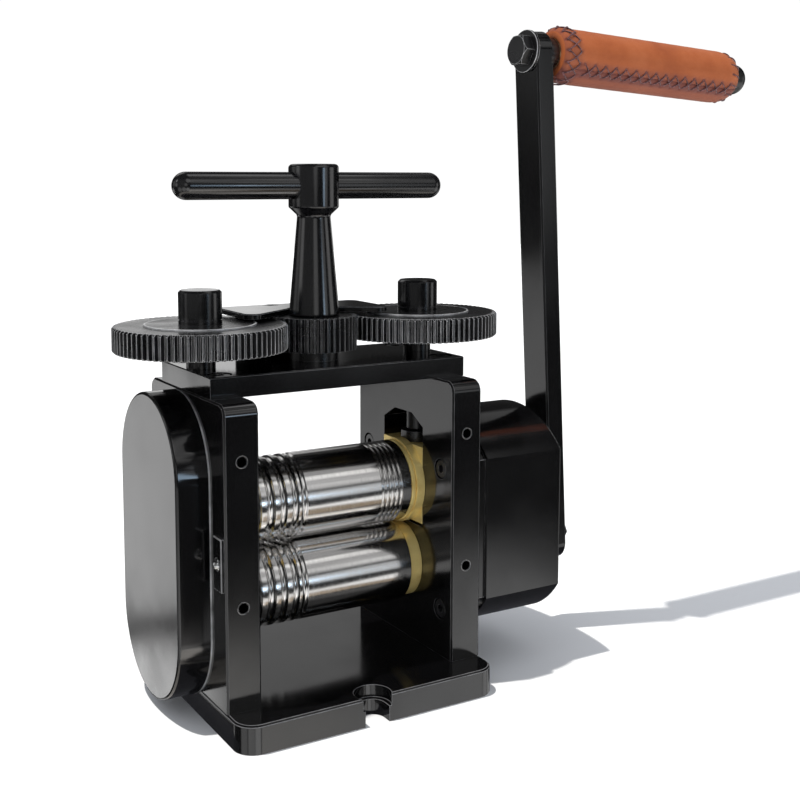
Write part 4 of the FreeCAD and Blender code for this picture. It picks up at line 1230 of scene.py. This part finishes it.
    def stem(self) -> Piece:
        """Turns the T-handle's spindle, tapered stem and head, and bores the head for the bar.

        Returns:
            The stem.
        """
        edge = self.head_edge
        profile: Profile = [(self.stem_tip, 0.0)]
        profile += moved(self.tip_curve, self.stem_tip, self.spindle_radius)
        profile += [(self.foot_z, self.spindle_radius)]
        profile += moved(self.foot_curve, self.foot_z, self.foot_radius)
        profile += moved(self.neck_curve, self.neck_z, self.stem_neck)
        profile += moved(self.head_curve, self.head_z, self.head_radius)
        profile += rounding(self.head_top - edge, self.head_radius - edge, edge, 90.0, 0.0, self.head_parts)
        profile += moved(self.dimple, self.head_top, 0.0)
        piece = Bench.lathe("t_handle_stem_turned", profile, Vector(), Axis.Z.way(), self.stem_steps)
        centre = Vector((0.0, 0.0, self.bar_z))
        Bench.bore(piece, self.bar_radius + self.bar_gap, self.bore_length, centre, Axis.X.way())
        Bench.round_edges(piece, self.bore_edge)
        return piece

    def bar(self) -> Piece:
        """Turns the T-handle's round-ended bar.

        Returns:
            The bar.
        """
        radius, reach = self.bar_radius, self.bar_half - self.bar_radius
        profile = rounding(-reach, 0.0, radius, 180.0, 90.0, self.bar_parts)
        profile += rounding(reach, 0.0, radius, 90.0, 0.0, self.bar_parts)
        centre = Vector((0.0, 0.0, self.bar_z))
        piece = Bench.lathe("t_handle_bar_turned", profile, centre, Axis.X.way(), self.bar_steps)
        Bench.shade(piece, limit_deg=60.0, weighted=False)
        return piece


@dataclass
class LeftCover:
    """Round-ended gear cover on the left, with the ball oiler beside it."""

    edge: Edge = Edge(0.35)
    plate_edge: Edge = Edge(0.25)
    plate_x: float = -63.1
    frame_x: float = -61.6
    rim_width: float = 0.75
    rim_lean: float = 0.9
    oiler_y: float = -36.5
    oiler_z: float = 73.8
    oiler_radius: float = 2.5
    collar_curve: Curve = ((-0.1, 0.0), (-0.35, -0.25), (-0.30, -0.5))
    ball_radius: float = 2.0
    ball_step_deg: int = 9
    steps: int = 48

    def build(self, mill: Mill) -> None:
        """Builds the cover and the oiler.

        Args:
            mill: the mill they are fitted to.
        """
        cover = mill.finish_node("left_gear_cover", self.edge, Coat.PAINT_EDGE)
        # the rim against the frame is a painted highlight in the lighter edge steel
        self.highlight_rim(cover, mill.finishes.of(Coat.STEEL_EDGE))
        mill.finish_node("oiler_plate", self.plate_edge, Coat.PAINT_EDGE)
        mill.fit(self.oiler(), "ball_oiler")

    def highlight_rim(self, cover: Piece, finish: bpy.types.Material) -> None:
        """Parts off the cover's narrow rim against the frame and gives it a slot of its own, for a painted
        highlight.

        Args:
            cover: the finished cover.
            finish: the rim's finish.
        """
        line = (self.frame_x - self.rim_width) * MM
        slot = len(cover.data.materials)
        cover.data.materials.append(finish)
        Bench.edit(cover)
        bpy.ops.mesh.bisect(plane_co=(line, 0.0, 0.0), plane_no=Axis.X.value)
        bpy.ops.object.mode_set(mode="OBJECT")
        for face in cover.data.polygons:
            if face.center.x > line and abs(face.normal.x) < self.rim_lean:
                face.material_index = slot

    def oiler(self) -> Piece:
        """Turns the oiler's body with its crimped collar and domed ball.

        Returns:
            The oiler.
        """
        ball, step = self.ball_radius, self.ball_step_deg
        profile = [(self.frame_x, 0.0), (self.frame_x, self.oiler_radius)]
        profile += moved(self.collar_curve, self.plate_x, self.oiler_radius)
        profile += rounding(self.plate_x, 0.0, ball, 90.0 + step, 180.0, 90 // step - 1)
        centre = Vector((0.0, self.oiler_y, self.oiler_z))
        piece = Bench.lathe("ball_oiler_turned", profile, centre, Axis.X.way(), self.steps)
        Bench.shade(piece, limit_deg=35.0, weighted=False)
        return piece


@dataclass
class Gearbox:
    """Reduction gearbox on the right, a plate and a domed housing."""

    plate_edge: Edge = Edge(0.45)
    housing_edge: Edge = Edge(0.45, limit_deg=24.0)

    def build(self, mill: Mill) -> None:
        """Builds the gearbox's outside.

        Args:
            mill: the mill it is fitted to.
        """
        mill.finish_node("gearbox_back_plate", self.plate_edge, Coat.PAINT_EDGE)
        mill.finish_node("gearbox_housing", self.housing_edge)


@dataclass
class Crank:
    """The leaning crank arm with its fasteners; works has each node, its rounding and its edges' finish."""

    works: tuple[tuple[str, Edge, Coat | None], ...] = (
        ("crank_arm", Edge(0.5, limit_deg=28.0), Coat.PAINT_EDGE),
        ("crank_collar", Edge(0.3), None),
        ("crank_washers", Edge(0.25), Coat.STEEL_EDGE),
        ("crank_nut", Edge(0.25), None),
        ("grip_spindle", Edge(0.35), Coat.STEEL_EDGE),
        ("grip_collar", Edge(0.3), None),
    )

    def build(self, mill: Mill) -> None:
        """Builds the crank's outside.

        Args:
            mill: the mill it is fitted to.
        """
        for name, edge, rim in self.works:
            mill.finish_node(name, edge, rim)


@dataclass(frozen=True)
class Press:
    """A mark in the leather: half width and depth in millimetres, darkness, and how steep its sides are."""

    width: float
    depth: float
    dark: float
    power: int = 2

    def at(self, distance: float) -> float:
        """Gives its strength, 1 in its middle, at a distance from there."""
        return math.exp(-((distance / self.width) ** self.power))


@dataclass
class Grip:
    """Leather-covered grip: a sleeve with cross stitches at both ends and along its seam."""

    start: float = 15.0
    end: float = 134.1
    radius: float = 13.5
    round_length: float = 10.9
    round_depth: float = 5.2
    round_parts: int = 16
    wall: float = 2.4
    hole: float = 7.8
    mouth_curve: Curve = ((0.4, 0.0), (0.0, 0.8))
    mouth_depth: float = 2.0
    puff: float = 3.2
    puff_parts: int = 8
    pace: float = 0.9
    steps: int = 200
    pivot: tuple[float, float, float] = (114.847, 0.0, 288.45)
    droop_deg: float = 3.2
    nut_edge: Edge = Edge(0.2)
    seam_deg: float = 33.0
    seam_half: float = 3.4
    seam_pitch: float = 6.6
    seam_gap: float = 2.6
    seam_over: float = 3.0
    ring_count: int = 14
    ring_start: float = 16.2
    ring_end: float = 24.2
    end_count: int = 15
    end_reach: float = 7.5
    end_gap: float = 0.4
    end_lean: float = 0.35
    thread: float = 0.34
    path_parts: int = 8
    path_sink: float = 0.9
    under_lift: float = 0.35
    over_lift: float = 0.75
    end_lift: float = 0.45
    lining: float = 0.4
    mouth_margin: float = 0.5
    band: Press = Press(4.2, -0.15, 0.6, 4)
    band_lead: float = 1.0
    ring: Press = Press(4.6, 0.18, 0.4, 4)
    # the slit's darkness is painted shade in its hollow
    slit: Press = Press(0.45, 0.55, 0.8)
    slit_lead: float = 2.0
    # the stitch holes' darkness is painted shade
    pit_depth: float = 0.75
    pit_painted_shade: float = 0.9
    pit_spread: float = 0.55
    pit_reach: float = 1.8
    wave_depth: float = 0.05
    wave_rate: float = 0.35
    wave_swing: float = 2.0
    wave_start_deg: float = 40.0
    # painted shade at the near end, where the arm shades it, and on the grip's underside
    mouth_painted_shade: float = 0.45
    mouth_fade: Range = (1.5, 2.5)
    under_painted_shade: float = 0.6
    under_fade: Range = (1.0, 3.0)
    under_deg: float = 20.0

    def build(self, mill: Mill) -> None:
        """Builds the sleeve, its threads and the nut at the free end.

        Args:
            mill: the mill they are fitted to.
        """
        mill.fit(self.sleeve(), "leather_sleeve")
        mill.fit(self.threads(), "leather_sleeve", Coat.THREAD, replaces=False)
        mill.finish_node("grip_end_nut", self.nut_edge)

    def axes(self) -> tuple[Vector, Vector, Vector]:
        """Gives the directions along the grip, to its front and to its underside.

        Returns:
            The three directions.
        """
        droop = math.radians(self.droop_deg)
        along = Vector((math.cos(droop), 0.0, -math.sin(droop)))
        front = -Axis.Y.way()
        down = along.cross(front)
        return along, front, (-down if down.z > 0 else down)

    def outer(self, s: float) -> float:
        """Gives the sleeve's radius at one place.

        Args:
            s: length along the grip, in millimetres.

        Returns:
            The radius, in millimetres.
        """
        if s < self.end - self.round_length:
            return self.radius
        share = min(1.0, (s - self.end + self.round_length) / self.round_length)
        return self.radius - self.round_depth * (1.0 - math.sqrt(max(0.0, 1.0 - share * share)))

    def point(self, s: float, turn_deg: float, lift: float) -> Vector:
        """Gives a place on the sleeve, in metres.

        Args:
            s: length along the grip, in millimetres.
            turn_deg: angle round it, from the front, positive downwards.
            lift: height above the leather, in millimetres.

        Returns:
            The place.
        """
        along, front, down = self.axes()
        turn = math.radians(turn_deg)
        out = front * math.cos(turn) + down * math.sin(turn)
        return (Vector(self.pivot) + along * s + out * (self.outer(s) + lift)) * MM

    def sleeve(self) -> Piece:
        """Turns the sleeve, then presses in its seam, its stitch holes and a few soft waves.

        Returns:
            The sleeve.
        """
        puff, bend = self.puff, self.end - self.round_length
        profile: Profile = moved(self.mouth_curve, self.start, self.hole)
        profile += rounding(self.start + puff, self.radius - puff, puff, 180.0, 90.0, self.puff_parts)
        s = self.start + puff + self.pace
        while s < bend:
            profile.append((s, self.radius))
            s += self.pace
        for i in range(self.round_parts + 1):
            s = self.end - self.round_length * (1.0 - math.sin(math.radians(90.0 * i / self.round_parts)))
            profile.append((s, self.outer(s)))
        inner, floor = self.radius - self.wall, self.start + self.mouth_depth
        profile += [(self.end, self.hole), (bend, inner), (floor, inner), (floor, self.hole)]
        centre = Vector(self.pivot)
        piece = Bench.lathe("leather_sleeve_sewn", profile, centre, self.axes()[0], self.steps, closed=True)
        self.press(piece)
        Bench.shade(piece, limit_deg=60.0, weighted=False)
        return piece

    def press(self, piece: Piece) -> None:
        """Presses the seam, the stitch holes and soft waves into the sleeve, and marks how dark each place is
        for the finish: darker stitched bands, and painted shade in the holes, the slit, the underside and the
        near end.

        Args:
            piece: the turned sleeve.
        """
        along, front, down = self.axes()
        centre, holes = Vector(self.pivot), self.holes()
        # darkness of the stitched bands and of painted shade, which the leather's finish reads
        marks = piece.data.attributes.new("sewn", "FLOAT", "POINT")
        inner, bend = self.radius - self.wall + self.lining, self.end - self.round_length
        for vertex in piece.data.vertices:
            place = vertex.co / MM - centre
            s = place.dot(along)
            across = place - along * s
            if across.length < inner and s < bend:
                continue
            turn = math.degrees(math.atan2(across.dot(down), across.dot(front)))
            sink, dark = self.marks_at(s, turn, self.pit_at(s, turn, across.length, holes))
            if s > self.start + self.mouth_margin:
                vertex.co -= across.normalized() * sink * MM
            marks.data[vertex.index].value = dark

    def marks_at(self, s: float, turn: float, pit: float) -> Range:
        """Adds up the leather's marks at one place.

        Args:
            s: length along the grip, in millimetres.
            turn: angle round it, in degrees.
            pit: strength of the nearest stitch hole there.

        Returns:
            How far the place is pressed in, in millimetres, and how dark it is with stitched bands and
            painted shade, from 0 to 1.
        """
        arc = math.radians(turn - self.seam_deg) * self.radius
        strengths = (
            (self.band, self.band.at(arc) if s > self.ring_end - self.band_lead else 0.0),
            (self.ring, self.ring.at(s - (self.ring_start + self.ring_end) / 2)),
            (self.slit, self.slit.at(arc) if s > self.ring_end - self.slit_lead else 0.0),
        )
        swing = self.wave_swing * math.sin(math.radians(turn))
        wave = math.sin(s * self.wave_rate + swing) * math.sin(math.radians(2 * turn + self.wave_start_deg))
        sink = sum(mark.depth * strength for mark, strength in strengths)
        dark = sum(mark.dark * strength for mark, strength in strengths)
        mouth = ramp(self.ring_start + self.mouth_fade[0] - s, self.mouth_fade[1])
        under = ramp(arc + self.under_fade[0], self.under_fade[1])
        under *= ramp(abs(turn) - self.under_deg, self.under_deg)
        sink += self.pit_depth * pit + self.wave_depth * abs(wave)
        # painted shade in the stitch holes, on the underside and at the near end in the arm's shade
        dark += self.pit_painted_shade * pit + self.under_painted_shade * under + self.mouth_painted_shade * mouth
        return sink, min(1.0, dark)

    def pit_at(self, s: float, turn: float, reach: float, holes: Profile) -> float:
        """Gives the strength of the nearest stitch hole at one place.

        Args:
            s: length along the grip, in millimetres.
            turn: angle round it, in degrees.
            reach: distance from its axis, in millimetres.
            holes: length and angle of each hole.

        Returns:
            The strength, 1 in a hole's middle.
        """
        pit = 0.0
        for hole_s, hole_turn in holes:
            if abs(s - hole_s) > self.pit_reach:
                continue
            side = math.radians((turn - hole_turn + 180.0) % 360.0 - 180.0) * reach
            pit = max(pit, math.exp(-((s - hole_s) ** 2 + side ** 2) / self.pit_spread))
        return pit

    def turns(self, count: int) -> list[float]:
        """Gives the angles of a ring's stitch holes, spread evenly from the seam."""
        return [self.seam_deg + 360.0 / count * (i + 0.5) for i in range(count)]

    def rows(self) -> list[float]:
        """Gives the lengths of the seam's stitch holes.

        Returns:
            The lengths, in millimetres.
        """
        found = []
        s = self.ring_end + self.seam_gap
        while s < self.end - self.round_length + self.seam_over:
            found.append(s)
            s += self.seam_pitch
        return found

    def seam_sides(self) -> Range:
        """Gives the angles of the two lines of holes beside the seam."""
        half = math.degrees(self.seam_half / self.radius)
        return self.seam_deg - half, self.seam_deg + half

    def holes(self) -> Profile:
        """Lists the stitch holes as length and angle, in millimetres and degrees.

        Returns:
            The holes.
        """
        found = [(s, turn) for turn in self.turns(self.ring_count) for s in (self.ring_start, self.ring_end)]
        found += [(s, side) for s in self.rows() for side in self.seam_sides()]
        return found + [(self.end - self.end_reach, turn) for turn in self.turns(self.end_count)]

    def path(self, from_s: float, from_turn: float, to_s: float, to_turn: float, lift: float) -> list[Vector]:
        """Gives the line of one stitch from hole to hole.

        Args:
            from_s: length at its first hole.
            from_turn: angle there.
            to_s: length at its second hole.
            to_turn: angle there.
            lift: its height over the leather in the middle.

        Returns:
            Its points, in metres.
        """
        points = []
        for i in range(self.path_parts + 1):
            share = i / self.path_parts
            height = (lift + self.path_sink) * math.sin(math.pi * share) ** 0.5 - self.path_sink
            s, turn = from_s + (to_s - from_s) * share, from_turn + (to_turn - from_turn) * share
            points.append(self.point(s, turn, height))
        return points

    def stitches(self) -> list[list[Vector]]:
        """Lists the lines of all stitches: the near ring's crosses, the seam's crosses and the far end's.

        Returns:
            The lines, in metres.
        """
        lines: list[list[Vector]] = []
        step = 360.0 / self.ring_count
        for turn in self.turns(self.ring_count):
            lines.append(self.path(self.ring_start, turn, self.ring_end, turn + step, self.under_lift))
            lines.append(self.path(self.ring_end, turn, self.ring_start, turn + step, self.over_lift))
        rows = self.rows()
        first, second = self.seam_sides()
        for near, far in zip(rows, rows[1:]):
            lines.append(self.path(near, first, far, second, self.under_lift))
            lines.append(self.path(near, second, far, first, self.over_lift))
        lean = 360.0 / self.end_count * self.end_lean
        near, far = self.end - self.end_reach, self.end - self.end_gap
        for turn in self.turns(self.end_count):
            lines.append(self.path(near, turn, far, turn + lean, self.end_lift))
        return lines

    def threads(self) -> Piece:
        """Lays round waxed threads along all stitch lines.

        Returns:
            The threads as one piece.
        """
        Bench.clear()
        bpy.ops.curve.primitive_bezier_curve_add(location=(0.0, 0.0, 0.0))
        cord = bpy.context.active_object
        cord.name = "grip_threads"
        cord.data.splines.clear()
        cord.data.dimensions = "3D"
        cord.data.bevel_depth = self.thread * MM
        cord.data.bevel_resolution = 2
        cord.data.use_fill_caps = True
        for line in self.stitches():
            spline = cord.data.splines.new("POLY")
            spline.points.add(len(line) - 1)
            for point, place in zip(spline.points, line):
                point.co = (*place, 1.0)
        Bench.hold(cord)
        bpy.ops.object.convert(target="MESH")
        piece = bpy.context.active_object
        Bench.shade(piece, limit_deg=70.0, weighted=False)
        return piece


@dataclass(frozen=True)
class SoftBox:
    """One soft light panel far away, a patch of the surroundings; its core and its edge are half angles."""

    turn_deg: float
    height_deg: float
    strength: float
    core_deg: float
    edge_deg: float
    tint: Colour = (1.0, 1.0, 1.0)

    def towards(self) -> Vector:
        """Gives the direction of the panel's middle."""
        turn, height = math.radians(self.turn_deg), math.radians(self.height_deg)
        level = math.cos(height)
        return Vector((math.cos(turn) * level, math.sin(turn) * level, math.sin(height)))


@dataclass
class Studio:
    """Pale floor, soft surrounding panels, the key light and the camera, in metres."""

    camera_at: tuple[float, float, float] = (-0.2402, -0.4675, 0.2264)
    camera_turn_deg: tuple[float, float, float] = (83.70, 0.0, -29.97)
    lens: float = 53.51
    sensor: float = 36.0
    shift: Range = (0.0355, -0.1097)
    clip_start: float = 0.01
    floor_size: float = 6.0
    floor_colour: Colour = (0.93, 0.93, 0.93)
    shade_at: tuple[float, float, float] = (0.115, 0.035, 0.0)
    shade_size: tuple[float, float, float] = (0.37, 0.17, 0.0)
    shade_colour: Colour = (0.10, 0.10, 0.11)
    matt: float = 0.9
    backdrop: float = 1.02
    fill: Colour = (0.575, 0.60, 0.645)
    gloom: float = 0.03
    key_strength: float = 2.85
    key_tint: Colour = (1.0, 0.98, 0.94)
    key_angle_deg: float = 1.1
    key_from: tuple[float, float, float] = (-0.265, 0.075, 1.0)
    boxes: tuple[SoftBox, ...] = (
        SoftBox(109.0, -14.2, 1.25, 5.8, 6.5),
        SoftBox(108.6, -24.4, 2.1, 2.7, 3.5),
        SoftBox(125.5, -17.0, 0.70, 9.0, 10.0),
        SoftBox(-60.0, -86.0, 0.92, 38.0, 44.0, (1.0, 0.95, 0.88)),
        SoftBox(-54.0, -24.0, 1.0, 5.0, 7.5),
        SoftBox(-67.0, -27.0, 1.1, 4.0, 7.0, (1.0, 0.98, 0.95)),
        SoftBox(-28.0, -26.0, 1.0, 12.0, 19.0),
        SoftBox(10.0, -26.0, 0.7, 12.0, 20.0),
        SoftBox(-92.0, -28.0, 1.2, 9.0, 17.0),
        SoftBox(-126.0, -28.0, 0.8, 12.0, 19.0),
        SoftBox(-165.0, -28.0, 0.6, 12.0, 19.0),
        SoftBox(-71.0, -38.0, 1.8, 5.0, 8.0, (1.05, 1.0, 0.94)),
        SoftBox(-57.0, -36.0, 0.24, 5.0, 8.0, (1.3, 1.0, 0.68)),
        SoftBox(-42.0, -54.0, 2.2, 2.0, 5.0),
        SoftBox(-69.5, 1.0, 2.6, 2.5, 5.5, (0.72, 1.0, 1.3)),
        SoftBox(-61.0, 2.0, 0.55, 6.0, 12.0, (0.98, 1.0, 1.02)),
        SoftBox(-26.0, 3.0, 0.8, 9.0, 14.0),
        SoftBox(-62.0, 22.0, 0.25, 5.0, 9.0),
        SoftBox(-56.0, 34.0, 0.42, 12.0, 20.0),
        SoftBox(-50.0, 44.0, 0.6, 3.0, 7.0, (1.0, 0.99, 0.97)),
        SoftBox(-36.0, 56.0, 0.35, 5.0, 10.0),
        SoftBox(70.0, 7.0, 1.0, 4.0, 9.0),
        SoftBox(66.0, 22.0, 0.42, 4.0, 9.0),
        SoftBox(10.0, 68.0, 0.95, 8.0, 14.0),
        SoftBox(38.0, 38.0, 0.25, 6.0, 12.0),
        SoftBox(36.0, -2.0, 0.6, 8.0, 13.0),
        SoftBox(168.0, 6.0, 0.75, 5.0, 15.0),
        SoftBox(160.0, 30.0, 1.5, 5.0, 10.0),
        SoftBox(140.0, 10.0, 0.35, 8.0, 18.0),
        SoftBox(-108.0, 9.0, 0.6, 8.0, 14.0),
        SoftBox(-150.0, 12.0, 0.10, 20.0, 50.0),
        SoftBox(-88.0, 42.0, 0.80, 9.0, 20.0),
        SoftBox(90.0, 42.0, 0.80, 9.0, 20.0),
        SoftBox(92.0, -44.0, 0.60, 8.0, 16.0),
    )

    def build(self) -> None:
        """Builds floor, surroundings, key light and camera."""
        self.add_floor()
        self.add_shaded_ground()
        self.add_surroundings()
        self.add_key()
        self.add_camera()
        bpy.context.scene.view_settings.view_transform = "Standard"

    def matt_finish(self, name: str, colour: Colour) -> bpy.types.Material:
        """Makes a matt finish without any gloss.

        Args:
            name: the finish's name.
            colour: its linear colour.

        Returns:
            The material.
        """
        shade = Shade(name)
        shade.set(Base_Color=(*colour, 1.0), Roughness=self.matt, Specular_IOR_Level=0.0)
        return shade.material

    def add_floor(self) -> None:
        """Lays the pale matt floor, which the gloss doesn't mirror."""
        Bench.clear()
        bpy.ops.mesh.primitive_plane_add(size=self.floor_size, location=(0.0, 0.0, 0.0))
        floor = bpy.context.active_object
        floor.name = "studio_floor"
        floor.data.materials.append(self.matt_finish("pale_floor", self.floor_colour))
        floor.visible_glossy = False

    def add_shaded_ground(self) -> None:
        """Lays a dark sheet where the mill shades the floor; only the gloss mirrors it."""
        Bench.clear()
        bpy.ops.mesh.primitive_grid_add(x_subdivisions=8, y_subdivisions=4, size=1.0, location=self.shade_at)
        sheet = bpy.context.active_object
        sheet.name = "studio_shaded_ground"
        sheet.dimensions = self.shade_size
        Bench.settle()
        sheet.data.materials.append(self.matt_finish("shaded_ground", self.shade_colour))
        sheet.visible_camera = sheet.visible_diffuse = False
        sheet.visible_shadow = sheet.visible_transmission = False

    def add_surroundings(self) -> None:
        """Sets a white backdrop, an even fill light, and the soft panels that the gloss mirrors."""
        world = bpy.data.worlds.new("studio_world")
        bpy.context.scene.world = world
        world.use_nodes = True
        tree = world.node_tree
        panels, out = tree.nodes["Background"], tree.nodes["World Output"]
        where = tree.nodes.new("ShaderNodeTexCoord").outputs["Generated"]
        total = tree.nodes.new("ShaderNodeRGB").outputs[0]
        total.default_value = (self.gloom, self.gloom, self.gloom, 1.0)
        for box in self.boxes:
            total = self.add_panel(tree, where, total, box)
        tree.links.new(total, panels.inputs["Color"])
        ray = tree.nodes.new("ShaderNodeLightPath")
        light = self.blend(tree, ray.outputs["Is Diffuse Ray"], panels.outputs[0], self.fill)
        light = self.blend(tree, ray.outputs["Is Camera Ray"], light, (self.backdrop,) * 3)
        tree.links.new(light, out.inputs["Surface"])

    def blend(self, tree: bpy.types.NodeTree, share: Socket, under: Socket, colour: Colour) -> Socket:
        """Puts an even background over another for one kind of ray.

        Args:
            tree: the world's nodes.
            share: one for that kind of ray.
            under: the other background.
            colour: the even background's light.

        Returns:
            The blended light.
        """
        even = tree.nodes.new("ShaderNodeBackground")
        even.inputs["Color"].default_value = (*colour, 1.0)
        mix = tree.nodes.new("ShaderNodeMixShader")
        tree.links.new(share, mix.inputs[0])
        tree.links.new(under, mix.inputs[1])
        tree.links.new(even.outputs[0], mix.inputs[2])
        return mix.outputs[0]

    def add_panel(self, tree: bpy.types.NodeTree, where: Socket, total: Socket, box: SoftBox) -> Socket:
        """Adds one panel to the surroundings.

        Args:
            tree: the world's nodes.
            where: the direction looked at.
            total: the light so far.
            box: the panel.

        Returns:
            The light with the panel.
        """
        aim = tree.nodes.new("ShaderNodeVectorMath")
        aim.operation = "DOT_PRODUCT"
        tree.links.new(where, aim.inputs[0])
        aim.inputs[1].default_value = box.towards()
        share = tree.nodes.new("ShaderNodeMapRange")
        share.interpolation_type = "SMOOTHSTEP"
        share.inputs["From Min"].default_value = math.cos(math.radians(box.edge_deg))
        share.inputs["From Max"].default_value = math.cos(math.radians(box.core_deg))
        share.inputs["To Max"].default_value = box.strength
        tree.links.new(aim.outputs["Value"], share.inputs["Value"])
        glow = tree.nodes.new("ShaderNodeVectorMath")
        glow.operation = "MULTIPLY_ADD"
        glow.inputs[1].default_value = box.tint
        tree.links.new(share.outputs["Result"], glow.inputs[0])
        tree.links.new(total, glow.inputs[2])
        return glow.outputs["Vector"]

    def add_key(self) -> None:
        """Hangs the key light, which the gloss doesn't mirror."""
        Bench.clear()
        bpy.ops.object.light_add(type="SUN", location=self.key_from)
        sun = bpy.context.active_object
        sun.name = "key_light"
        sun.data.energy = self.key_strength
        sun.data.color = self.key_tint
        sun.data.angle = math.radians(self.key_angle_deg)
        sun.rotation_euler = (-Vector(self.key_from)).to_track_quat("-Z", "Y").to_euler()
        sun.visible_glossy = False

    def add_camera(self) -> None:
        """Sets up the camera."""
        Bench.clear()
        turn = [math.radians(angle) for angle in self.camera_turn_deg]
        bpy.ops.object.camera_add(location=self.camera_at, rotation=turn)
        camera = bpy.context.active_object
        camera.data.lens = self.lens
        camera.data.sensor_width = self.sensor
        camera.data.shift_x, camera.data.shift_y = self.shift
        camera.data.clip_start = self.clip_start
        bpy.context.scene.camera = camera


def main() -> None:
    """Loads the frame, dresses the mill and lights it."""
    logging.basicConfig(level=logging.INFO, format="%(message)s")
    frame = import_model()
    Bench.clear()
    mill = Mill(frame, Finishes())
    for assembly in (Castings(), Rolls(), Bearings(), ScrewDown(), LeftCover(), Gearbox(), Crank(), Grip()):
        assembly.build(mill)
    Studio().build()


if __name__ == "__main__":
    main()
